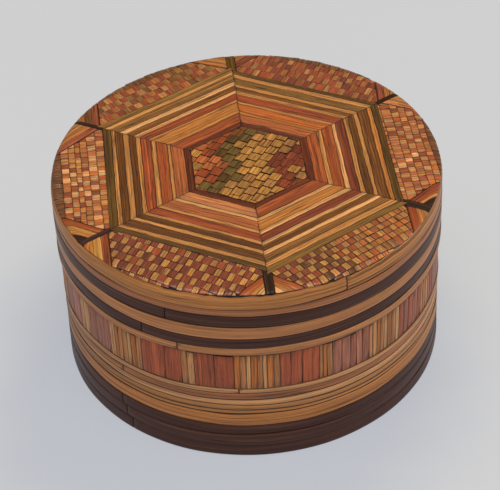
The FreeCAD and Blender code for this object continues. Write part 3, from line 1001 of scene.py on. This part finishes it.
# The row of staves from the left edge of the front view round to the right, counter-clockwise:
# the dyes that take turns, how many straws, and the angle in degrees that they fill.
STAVE_RUNS = [
    (("plum",), 2, 10.5), (("sand",), 2, 5.0), (("plum",), 2, 10.2),
    (("sand", "amber", "strip_tan", "drab"), 7, 12.1), (("rose",), 2, 12.7),
    (("strip_tan", "sand"), 2, 4.0), (("rose",), 2, 11.4),
    (("amber", "strip_tan", "sand"), 8, 13.0), (("rose",), 3, 11.6),
    (("strip_tan", "amber"), 3, 4.1), (("plum",), 5, 12.3),
    (("strip_tan", "sand", "amber"), 8, 12.2), (("rose", "plum"), 5, 12.4),
    (("sand", "amber"), 3, 5.1), (("plum", "rose"), 3, 6.8),
]
# The angle in degrees at which they start, and the run that isn't worth starting at the end.
STAVES_START = -162.0
LEAST_RUN = 1.0
# The dyes that belong to the rose and the amber staves. All others are plain ones.
STAVE_GROUPS = {"rose": "rose", "plum": "rose", "amber": "amber"}


class STRAWBOX_OT_lay_staves(StrawBoxStep):
    """Stand the row of split straws under the lid"""

    bl_idname = "straw_box.lay_staves"
    bl_label = "Lay staves"

    def execute(self, context):
        rng = random.Random("staves")
        low, high = (corner.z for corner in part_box("staves_rose"))
        wander = round_wander(rng, sizes().wall_wander * 0.4)
        groups = {"rose": Straws(), "straw": Straws(), "amber": Straws()}
        angle = math.radians(STAVES_START)
        last = angle + TAU
        turn = 0
        while angle < last - math.radians(LEAST_RUN):
            tints, count, degrees = STAVE_RUNS[turn % len(STAVE_RUNS)]
            turn += 1
            run = min(math.radians(degrees), last - angle)
            shares = np.array([rng.uniform(0.7, 1.3) for _ in range(count)])
            for step, share in enumerate(shares / shares.sum()):
                tint = tints[step % len(tints)]
                straws = groups[STAVE_GROUPS.get(tint, "straw")]
                self.stave(straws, angle, share * run, low, high, wander, tint, rng)
                angle += share * run
        for group, name in (("rose", "rose"), ("straw", "plain"), ("amber", "amber")):
            groups[group].make(
                name + "_staves", "base", name + "_straw", straw_finish("stave_straw"),
                "staves_" + group,
            )
        return {"FINISHED"}

    @staticmethod
    def stave(straws, first, turn, low, high, wander, tint, rng):
        """One straw standing on the sill. Its cut top ends unevenly under the lid."""
        radius = BASE_WALL + sizes().wall_wander * 0.4
        gap = rng.uniform(0.03, 0.12) * MM / radius
        top = high - abs(rng.gauss(0, 0.40)) * MM
        slant = rng.gauss(0, 0.15) * MM / radius

        def place(along, across, lift):
            angle = first + gap / 2 + across * (turn - gap) + slant * (along - 0.5)
            reach = radius + wander(angle) + lift
            height = blend(low, top, along)
            return np.stack([reach * np.cos(angle), reach * np.sin(angle), height], -1)

        colour = dyed(tint, rng, STAVE_SPREAD)
        lay_straw(straws, place, top - low, turn * radius, colour, rng, step=STAVE_STEP)


# The strips round the lid from the hem up: the node whose top is the strip's own, and how many
# millimetres higher it ends, the node it stands for, its dye, slot and finish, the angle of its
# seam in degrees, and how far it stands proud in millimetres.
LID_STRIPS = (
    ("hem_strip", "lid_hem_strip", 0, "lid_hem_strip",
     "strip_tan", "tan_straw", "wall_straw", -112.0, 0.10),
    ("lower_dark_strip", "lid_dark_strip_lower", 0, "lid_dark_strip_lower",
     "black_brown", "dark_straw", "dark_wall_straw", -123.0, 0.0),
    ("middle_tan_strip", "lid_tan_strip", 0, "lid_tan_strip",
     "strip_tan", "tan_straw", "wall_straw", 40.0, 0.06),
    ("upper_dark_strip", "lid_dark_strip_upper", 0, "lid_dark_strip_upper",
     "black_brown", "dark_straw", "dark_wall_straw", -115.0, 0.0),
    ("orange_strip", "lid_dark_strip_upper", 3.1, "lid_rim_strip",
     "rose_brown", "tan_straw", "wall_straw", 150.0, 0.04),
    ("rim_strip", "lid_rim_strip", 0.95, "lid_rim_strip",
     "rim_tan", "tan_straw", "wall_straw", -63.0, 0.02),
)
# The rim strip's uneven upper edge in waves to a turn, the level where it starts to bend in, and
# over what height it bends in how far.
RIM_WAVES = (3, 7, 13, 24, 41, 67, 97)
RIM_BEND_START = 73.6 * MM
RIM_BEND = 2.4 * MM
RIM_PRESS = 0.75 * MM


class STRAWBOX_OT_lay_lid_strips(StrawBoxStep):
    """Lay the strips round the lid, from the hem up to the rim"""

    bl_idname = "straw_box.lay_lid_strips"
    bl_label = "Lay lid strips"

    def execute(self, context):
        rng = random.Random("lid strips")
        edge = (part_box("lid_hem_strip")[0].z, round_wander(rng, 0.06 * MM))
        for name, above, rise, node, tint, slot, look, seam, proud in LID_STRIPS:
            wander = round_wander(rng, 0.15 * MM)
            lean = None
            if name == "rim_strip":
                lean = self.rim_lean
                wander = round_wander(rng, 0.28 * MM, RIM_WAVES)
            following = (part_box(above)[1].z + rise * MM, wander)
            lay_round(
                name, LID_WALL, edge, following, 0.14 * MM, seam, tint, node, slot, "lid", rng,
                proud, look, lean,
            )
            edge = following
        return {"FINISHED"}

    @staticmethod
    def rim_lean(angle, height):
        """The rim strip's upper edge is pressed in towards the marquetry."""
        share = np.clip((height - RIM_BEND_START) / RIM_BEND, 0, 1)
        return -RIM_PRESS * share * share


class STRAWBOX_OT_lay_stripes(StrawBoxStep):
    """Lay the mitred stripes of the hexagon"""

    bl_idname = "straw_box.lay_stripes"
    bl_label = "Lay hexagon stripes"

    def execute(self, context):
        rng = random.Random("stripes")
        mitres = [edge_wander(rng, 0.8) for _ in range(HEXAGON_SIDES)]
        lines = [
            [edge_wander(rng, 0.8) for _ in range(len(STRIPES) + 1)] for _ in range(HEXAGON_SIDES)
        ]
        inner = [FIELD_APOTHEM] * HEXAGON_SIDES
        for index, (node, slot, widths, count, tints) in enumerate(STRIPES):
            straws = Straws()
            for side in range(HEXAGON_SIDES):
                outer = inner[side] + widths[side] * MM
                shares = np.array([rng.uniform(0.6, 1.4) for _ in range(count)])
                cuts = [0.0] + list(np.cumsum(shares / shares.sum()))
                for step in range(count):
                    self.straw(
                        straws, Sector(side), inner[side], outer, cuts[step], cuts[step + 1],
                        lines[side][index], lines[side][index + 1],
                        mitres[side - 1], mitres[side], dyed(tints[side], rng),
                        (step > 0, step < count - 1), rng,
                    )
                inner[side] = outer
            name = "laid_" + node.replace("stripe_", "").replace("centre_", "")
            straws.make(name, "lid", slot, straw_finish("stripe_straw"), node)
        return {"FINISHED"}

    @staticmethod
    def straw(straws, sector, inner, outer, first, last, inner_line, outer_line,
              right_mitre, left_mitre, colour, within, rng):
        """One straw of a stripe, mitred at both ends. within says which sides meet a like straw."""
        gap = sizes().joint / 2
        near, far = (gap * STRIPE_SPLIT if like else gap for like in within)
        slant = math.cos(HALF_SIDE)

        def place(along, across, lift):
            share = blend(first, last, across)
            out = blend(inner, outer, share)
            right = -out * SIDE_TAN + right_mitre(out) / slant + gap
            left = out * SIDE_TAN + left_mitre(out) / slant - gap
            where = blend(right, left, along)
            out = out + blend(inner_line(where), outer_line(where), share)
            out = out + blend(near, -far, across)
            x, y = sector.flat(out, where)
            return on_lid(x, y, lift)

        width = (outer - inner) * (last - first)
        clean = [0.15 * like for like in within]
        lay_straw(straws, place, 2 * outer * SIDE_TAN, width, colour, rng, clean=clean)


class STRAWBOX_OT_lay_checkers(StrawBoxStep):
    """Lay the bands of small tiles between the hexagon and the rim"""

    bl_idname = "straw_box.lay_checkers"
    bl_label = "Lay checker bands"

    def execute(self, context):
        rng = random.Random("checkers")
        tiles = {"light": Straws(), "dark": Straws()}
        for side, band in enumerate(BANDS):
            widths = []
            while sum(widths) < BAND_LENGTH:
                usual = band.dark if len(widths) % 2 else band.light
                widths.append(usual * rng.uniform(0.85, 1.15))
            inner = side_reach(side) - abs(band.slope) * BAND_RISE * MM
            below = edge_wander(rng, 0.5)
            for row, height in enumerate(band.rows):
                outer = inner + height * MM
                above = edge_wander(rng, 0.7)
                # The last row takes the band's rim dye, a brown that paints shade where the row bends
                # down.
                rim = band.rim if row == len(band.rows) - 1 else ""
                self.row(tiles, side, inner, outer, below, above, widths, row, band, rim, rng)
                inner = outer
                below = above
        for shade, straws in tiles.items():
            straws.make(
                shade + "_tiles", "lid", "checker_straw", straw_finish("tile_straw"),
                "checker_bands",
            )
        return {"FINISHED"}

    @staticmethod
    def row(tiles, side, inner, outer, below, above, widths, row, band, rim, rng):
        """One row of tiles, cut from the same set of straws as the last and slipped by one."""
        gap = sizes().joint / 2
        sector = Sector(side)
        slip = (widths[0] + widths[1]) / 2 if row % 2 else 0.0
        along = (-sum(widths) / 2 + slip + rng.gauss(0, 0.2)) * MM
        for index, width in enumerate(widths):
            following = along + width * MM
            is_light = index % 2 == 0
            left = rng.random() < 0.5 + (along + following) / TURNOVER
            lights = (band.left_lights or band.lights) if left else band.lights
            darks = (band.left_darks or band.darks) if left else band.darks
            parts = rng.choice((2, 3, 3)) if is_light and rng.random() < band.split else 1
            tint = rng.choice(lights if is_light else darks)
            # A rim dye stands in for the tile's own on the last row, as painted shade on the
            # shoulder.
            shade = dyed(rim or tint, rng, TILE_SPREAD)
            lean = rng.gauss(0, 0.08) * MM

            def cut(start, end):
                corners = [
                    (inner + below(start) + band.slope * start + gap, start),
                    (inner + below(end) + band.slope * end + gap, end),
                    (outer + above(end) + band.slope * end - gap, end + lean),
                    (outer + above(start) + band.slope * start - gap, start + lean),
                ]
                return [sector.point(out, beside) for out, beside in corners]

            whole = cut(along + gap, following - gap)
            straws = tiles["light" if is_light else "dark"]
            for start, end in split_tile(along, following, parts, gap):
                lay_clipped(straws, side, cut(start, end), shade, rng, band.clean, whole)
            along = following


def lay_clipped(straws, side, outline, colour, rng, clean, whole):
    """A tile, cut where the corner strips, the outermost stripe and the rim stop it."""
    size = sizes()
    sector = Sector(side)
    middle = np.array(pattern_middle())
    for corner, hand in ((Corner(side), -1), (Corner(side - 1), 1)):
        fork = corner.fork_angle(hand)
        foot = corner.point(0.0, 0.0)
        way = corner.point(math.cos(fork), hand * math.sin(fork)) - foot
        inward = np.array([-way[1], way[0]])
        if np.dot(middle - foot, inward) < 0:
            inward = -inward
        away = corner.point(0.0, hand) - foot
        outline = clipped(outline, foot + inward * size.joint / 2, inward)
        outline = clipped(outline, foot + away * (corner.half + size.joint), away)
        if len(outline) < 3:
            return
    out = sector.point(1.0, 0.0) - sector.point(0.0, 0.0)
    outline = clipped(outline, sector.point(side_reach(side) + size.joint / 2, 0.0), out)
    if len(outline) < 3:
        return
    centre = np.mean(outline, axis=0)
    rim = centre / np.linalg.norm(centre)
    outline = clipped(outline, rim * size.rim_reach, -rim)
    if len(outline) < 3 or abs(outline_area(outline)) < LEAST_CHECKER:
        return
    rise = rng.gauss(0, 0.02) * MM
    lay_tile(straws, on_lid, outline, sector.angle, colour, rng, rise, clean, border=whole)


class Corner(Ray):
    """One corner of the hexagon: how far out along its spoke from there, and how far beside it."""

    def __init__(self, index):
        turn = sizes().pattern_turn + HALF_SIDE + index * TAU / HEXAGON_SIDES
        super().__init__(turn, HEXAGON_APOTHEM / math.cos(HALF_SIDE))
        self.index = index % HEXAGON_SIDES
        self.half = SPOKES[self.index][0] / 2 * MM

    def hexagon_edge(self, beside):
        """How far out the hexagon ends, at distances beside the spoke."""
        following = side_reach((self.index + 1) % HEXAGON_SIDES)
        reach = np.where(beside < 0, side_reach(self.index), following)
        return (reach - np.abs(beside) * math.sin(HALF_SIDE)) / math.cos(HALF_SIDE) - self.start

    def fork_angle(self, hand):
        """The angle between the spoke and the strips on its clockwise (-1) or other (1) side."""
        return math.radians(FORKS[self.index][hand > 0][0])

    def run_to_rim(self, out, beside, way_out, way_beside):
        """How far a line that starts beside the spoke runs before it meets the rim."""
        x, y = self.flat(out, beside)
        cos, sin = math.cos(self.angle), math.sin(self.angle)
        way_x = way_out * cos - way_beside * sin
        way_y = way_out * sin + way_beside * cos
        dot = x * way_x + y * way_y
        return -dot + np.sqrt(dot * dot - x * x - y * y + sizes().rim_reach ** 2)


class STRAWBOX_OT_lay_corners(StrawBoxStep):
    """Lay the spokes of the hexagon's corners and the strips that fork beside them"""

    bl_idname = "straw_box.lay_corners"
    bl_label = "Lay corner spokes and forks"

    def execute(self, context):
        size = sizes()
        rng = random.Random("corners")
        spokes, chips, red, gold = Straws(), Straws(), Straws(), Straws()
        for index in range(HEXAGON_SIDES):
            corner = Corner(index)
            self.spoke(spokes, corner, rng)
            for hand in (-1, 1):
                _, tints, broad = FORKS[index][hand > 0]
                fork = Fork(corner, hand, corner.half + size.joint)
                at = size.joint
                fork.strip(chips, at, at + size.fork_line, "umber", rng)
                at += size.fork_line + size.joint / 2
                room = fork.room() - at - CHIP_ROOM[broad]
                first = min(size.fork_red, room * 0.5)
                fork.strip(red, at, at + first, tints[0], rng)
                at += first + size.joint * 0.6
                for tint in tints[1:]:
                    wide = (room - first) / 2
                    fork.strip(gold, at, at + wide, tint, rng)
                    at += wide + size.joint * 0.6
                fork.chip(chips, at + size.joint / 2, rng)
        dark, bright = straw_finish("dark_wall_straw"), straw_finish("stripe_straw")
        spokes.make("dark_spokes", "lid", "dark_straw", dark, "corner_spokes")
        chips.make("dark_chips", "lid", "dark_straw", dark, "corner_spokes")
        red.make("fork_red_strips", "lid", "red_straw", bright, "corner_red_strips")
        gold.make("fork_gold_strips", "lid", "gold_straw", bright, "corner_gold_strips")
        return {"FINISHED"}

    @staticmethod
    def spoke(straws, corner, rng):
        """A spoke of two straws that starts at the hexagon's outermost stripe."""
        line = edge_wander(rng, 0.6)
        edges = [edge_wander(rng, 0.6) for _ in range(2)]
        for first, last, clean in ((0.0, 0.5, (0.05, 0.3)), (0.5, 1.0, (0.3, 0.05))):

            def place(along, across, lift):
                share = blend(first, last, across)
                beside = corner.half * (2 * share - 1)
                start = corner.hexagon_edge(beside) + sizes().joint * 0.6
                run = corner.run_to_rim(start, beside, 1.0, 0.0)
                out = start + along * run
                stray = line(out) + blend(edges[0](out), edges[1](out), share)
                stray = stray * np.minimum(1.0, along * 3)
                x, y = corner.flat(out, beside + stray)
                return on_lid(x, y, lift)

            colour = dyed(SPOKES[corner.index][1], rng)
            lay_straw(straws, place, SPOKE_LENGTH, corner.half, colour, rng,
                      step=CORNER_STEP, clean=clean)


class Fork:
    """The strips on one side of a spoke, which leave it at an angle and run to the rim."""

    def __init__(self, corner, hand, foot):
        self.corner = corner
        self.hand = hand
        self.foot = foot
        self.angle = corner.fork_angle(hand)
        self.way = math.cos(self.angle), hand * math.sin(self.angle)

    def room(self):
        """How deep the corner is, square to its strips."""
        tip = float(self.corner.run_to_rim(0.0, self.foot, 1.0, 0.0))
        return tip * math.sin(self.angle) - self.foot * math.cos(self.angle)

    def start(self, near):
        """Where a line at this distance from the tiles leaves the spoke's side."""
        run = (self.foot + near * math.cos(self.angle)) / math.sin(self.angle)
        out = near * math.sin(self.angle) + run * math.cos(self.angle)
        beside = self.hand * (run * math.sin(self.angle) - near * math.cos(self.angle))
        return out, beside

    def strip(self, straws, near, far, tint, rng):
        """One strip between two distances from the tiles."""
        if far - near < LEAST_STRIP:
            return

        def place(along, across, lift):
            out, beside = self.start(blend(near, far, across))
            run = along * self.corner.run_to_rim(out, beside, *self.way)
            x, y = self.corner.flat(out + run * self.way[0], beside + run * self.way[1])
            return on_lid(x, y, lift)

        out, beside = self.start(near)
        long = float(self.corner.run_to_rim(out, beside, *self.way))
        lay_straw(straws, place, long, far - near, dyed(tint, rng), rng,
                  step=CORNER_STEP, clean=STRIP_CLEAN)

    def chip(self, straws, near, rng):
        """The dark chip that fills what is left between the strips, the spoke and the rim."""
        corner = self.corner
        out, beside = self.start(near)
        run = float(corner.run_to_rim(out, beside, *self.way))
        tip = float(corner.run_to_rim(0.0, self.hand * self.foot, 1.0, 0.0))
        far = corner.point(out + run * self.way[0], beside + run * self.way[1])
        end = corner.point(tip, self.hand * self.foot)
        reach = sizes().rim_reach
        rim = [blend(far, end, share) for share in (0, 0.25, 0.5, 0.75, 1)]
        outline = [corner.point(out, beside)] + [p * reach / np.linalg.norm(p) for p in rim]
        if abs(outline_area(outline)) > LEAST_CHIP:
            angle = corner.angle + self.hand * self.angle
            lay_tile(straws, on_lid, outline, angle, dyed("dark_brown", rng), rng)


# How the stalks lie in the centre field, how wide its tiles are as a share of their length, and how
# far out their middles may lie before the border cuts them.
FIELD_LEAN = math.radians(61.0)
FIELD_TILE_SHARE = 0.92
FIELD_REACH = FIELD_APOTHEM * 1.3
# The lines between its groups, in millimetres from its middle: how far to the front or back, and
# how far to the right the line is there. Gold's left side, gold's right side and olive's left side.
FIELD_BOUNDS = (
    ((-15, -12, -10, -2, 5, 8, 10, 13, 16, 18), (-12, -11, -4, -3, -7, -3, -7, -5, 3, 8)),
    ((-16, -11, -6, -3, 3, 6, 8, 12), (11, 11, 11, 8, 8, 13, 18, 30)),
    ((-13, -10, -8, 0, 5, 13, 16, 19), (-17, -16, -9, -8, -10, -12, -6, 0)),
)


class STRAWBOX_OT_lay_field(StrawBoxStep):
    """Lay the stepped tiles inside the border"""

    bl_idname = "straw_box.lay_field"
    bl_label = "Lay centre field"

    def execute(self, context):
        size = sizes()
        rng = random.Random("field")
        tile = size.field_tile
        wide = tile * FIELD_TILE_SHARE
        row_way = np.array([math.sin(FIELD_LEAN), -math.cos(FIELD_LEAN)])
        stalk = np.array([math.cos(FIELD_LEAN), math.sin(FIELD_LEAN)])
        middle = np.array(pattern_middle())
        groups = {tint: Straws() for tint in ("gold", "olive", "red", "maroon")}
        count = int(FIELD_REACH / wide) + 2
        for column in range(-count, count + 1):
            slip = (column % 2) * tile / 2 + rng.gauss(0, tile * 0.12)
            for row in range(-count, count + 1):
                centre = row_way * column * wide + stalk * (row * tile + slip)
                if np.linalg.norm(centre) > FIELD_REACH:
                    continue
                group, tints, clean = self.group(centre / MM)
                self.tile(groups[group], middle + centre, row_way, stalk, wide, tile,
                          rng.choice(tints), clean, rng)
        for group, straws in groups.items():
            straws.make(f"field_{group}_tiles", "lid", f"{group}_straw",
                        straw_finish("field_straw"), f"centre_field_{group}")
        return {"FINISHED"}

    @staticmethod
    def group(centre):
        """The group, the dyes and the clean joint of a tile: gold runs up the middle of the field."""
        x, y = centre
        gold_left, gold_right, olive_left = (np.interp(y, *line) for line in FIELD_BOUNDS)
        if x > gold_right:
            if x > 15.5 and -10.5 < y < -1:
                return "gold", ("gold", "old_tan"), 0.0
            return "maroon", ("maroon",), 0.30
        if x > gold_left:
            return "gold", ("gold", "gold", "old_tan", "gold"), 0.0
        if x > olive_left:
            return "olive", ("moss", "dark_olive", "moss"), 0.08
        if y > 12:
            return "red", ("brown", "brick", "amber"), 0.20
        if x < -17.6:
            return "red", ("gold", "terracotta", "old_tan"), 0.05
        return "red", ("brick", "brick", "terracotta"), 0.06

    @staticmethod
    def tile(straws, centre, row_way, stalk, wide, long, tint, clean, rng):
        """One tile of a few straws, cut to the border. Its lower end stands a little proud."""
        gap = sizes().joint / 2

        def cut(left, right):
            end = long / 2 - gap
            outline = [
                centre + row_way * left - stalk * end, centre + row_way * right - stalk * end,
                centre + row_way * right + stalk * end, centre + row_way * left + stalk * end,
            ]
            for side in range(HEXAGON_SIDES):
                sector = Sector(side)
                way = sector.point(1.0, 0.0) - sector.point(0.0, 0.0)
                outline = clipped(outline, sector.point(FIELD_APOTHEM - gap, 0.0), -way)
                if len(outline) < 3:
                    break
            return outline

        parts = rng.choice((3, 3, 4, 4))
        rise = 0.05 * MM + abs(rng.gauss(0, 0.06)) * MM
        shade = dyed(tint, rng)
        whole = cut(gap - wide / 2, wide / 2 - gap)
        for left, right in split_tile(-wide / 2, wide / 2, parts, gap):
            outline = cut(left, right)
            step = 1 + rng.gauss(0, 0.09)
            if len(outline) < 3 or abs(outline_area(outline)) < LEAST_FIELD_TILE:
                continue
            colour = tuple(part * step for part in shade)
            lay_tile(straws, on_lid, outline, math.atan2(stalk[1], stalk[0]), colour, rng,
                     rise, clean, lean=-stalk * 0.05, border=whole)


# The lamps: where each stands, and its width and height, in metres. All face the box.
LAMPS = (
    ("key", (-0.05, -0.30, 1.40), (1.5, 0.55)),
    ("fill", (0.0, -1.30, 0.45), (1.6, 0.60)),
    ("side", (1.40, 0.15, 0.35), (0.8, 0.5)),
    ("glint", (-0.02, -0.34, 1.30), (0.16, 0.12)),
)
# How far the camera is turned off the middle of the box's underside, and how far it is tipped
# sideways, in radians.
CAMERA_PAN, CAMERA_TILT, CAMERA_ROLL = 0.0002, 0.0421, -0.0474


def turned(first, second, turn):
    """Two directions square to each other, turned from the first towards the second."""
    cos, sin = math.cos(turn), math.sin(turn)
    return first * cos + second * sin, second * cos - first * sin


class STRAWBOX_OT_set_stage(StrawBoxStep):
    """Put the box on pale paper under soft light, and set the camera"""

    bl_idname = "straw_box.set_stage"
    bl_label = "Set stage"

    def execute(self, context):
        scene = context.scene
        scene.view_settings.view_transform = "Standard"
        self.floor()
        self.camera(scene)
        stage = scene.straw_box_stage
        for name, place, size in LAMPS:
            self.light(name + "_light", place, size, getattr(stage, name + "_power"))
        self.world(scene)
        return {"FINISHED"}

    @staticmethod
    def floor():
        mesh = bpy.data.meshes.new("floor")
        half = 4.0
        corners = [(-half, -half, 0), (half, -half, 0), (half, half, 0), (-half, half, 0)]
        mesh.from_pydata(corners, [], [(0, 1, 2, 3)])
        mesh.materials.append(floor_finish())
        floor = bpy.data.objects.new("floor", mesh)
        bpy.context.scene.collection.objects.link(floor)

    @staticmethod
    def camera(scene):
        """The camera looks down on the box and is turned a little off the box's middle."""
        stage = scene.straw_box_stage
        height = stage.camera_height
        back = Vector((0, -math.cos(height), math.sin(height)))
        up = Vector((0, math.sin(height), math.cos(height)))
        ahead, right = turned(-back, Vector((1, 0, 0)), CAMERA_PAN)
        ahead, up = turned(ahead, up, CAMERA_TILT)
        right, up = turned(right, up, CAMERA_ROLL)
        data = bpy.data.cameras.new("camera")
        data.lens = stage.camera_lens
        data.sensor_width = 36.0
        data.clip_start = 0.01
        camera = bpy.data.objects.new("camera", data)
        facing = Matrix((right, up, -ahead)).transposed().to_4x4()
        camera.matrix_world = Matrix.Translation(back * stage.camera_distance) @ facing
        scene.collection.objects.link(camera)
        scene.camera = camera

    @staticmethod
    def light(name, place, size, power):
        data = bpy.data.lights.new(name, "AREA")
        data.shape = "RECTANGLE"
        data.size, data.size_y = size
        data.energy = power
        lamp = bpy.data.objects.new(name, data)
        lamp.location = place
        lamp.rotation_euler = (-Vector(place)).to_track_quat("-Z", "Y").to_euler()
        bpy.context.scene.collection.objects.link(lamp)

    @staticmethod
    def world(scene):
        """Even light from all round, a little weaker from behind the box."""
        sky = Finish(bpy.data.worlds.new("studio"))
        _, ahead, _ = sky.parts(sky.add("TexCoord", {}, {}, "Generated"))
        strength = (1.15 - sky.smooth(ahead, -0.2, 0.8) * 0.45) * scene.straw_box_stage.sky
        seen = sky.add("LightPath", {}, {}, "Is Camera Ray")
        strength = strength + seen * (BACKDROP_GLOW - strength)
        background = sky.add("Background", {}, {0: paint("#F6F6F6"), 1: strength})
        scene.world = sky.done(background, "World")


STEPS = (
    STRAWBOX_OT_set_stage, STRAWBOX_OT_finish_carcass, STRAWBOX_OT_lay_sleeve,
    STRAWBOX_OT_lay_foot, STRAWBOX_OT_lay_band, STRAWBOX_OT_lay_staves,
    STRAWBOX_OT_lay_lid_strips, STRAWBOX_OT_lay_stripes, STRAWBOX_OT_lay_field,
    STRAWBOX_OT_lay_checkers, STRAWBOX_OT_lay_corners,
)


class STRAWBOX_PT_panel(Panel):
    """Sizes, dyes and steps of the straw box"""

    bl_idname = "STRAWBOX_PT_panel"
    bl_label = "Straw Box"
    bl_space_type = "VIEW_3D"
    bl_region_type = "UI"
    bl_category = "Straw Box"

    def draw(self, context):
        scene = context.scene
        for group in (scene.straw_box_sizes, scene.straw_box_dyes, scene.straw_box_stage):
            box = self.layout.box()
            for name in group.__annotations__:
                box.prop(group, name)
        for step in STEPS:
            self.layout.operator(step.bl_idname)


CLASSES = (StrawBoxSizes, StrawBoxDyes, StrawBoxStage, *STEPS, STRAWBOX_PT_panel)


def register():
    for item in CLASSES:
        bpy.utils.register_class(item)
    bpy.types.Scene.straw_box_sizes = PointerProperty(type=StrawBoxSizes)
    bpy.types.Scene.straw_box_dyes = PointerProperty(type=StrawBoxDyes)
    bpy.types.Scene.straw_box_stage = PointerProperty(type=StrawBoxStage)


def unregister():
    del bpy.types.Scene.straw_box_stage
    del bpy.types.Scene.straw_box_dyes
    del bpy.types.Scene.straw_box_sizes
    for item in reversed(CLASSES):
        bpy.utils.unregister_class(item)


def main():
    register()
    for step in STEPS:
        group, name = step.bl_idname.split(".")
        getattr(getattr(bpy.ops, group), name)()
    bpy.context.view_layer.update()


if __name__ == "__main__":
    main()
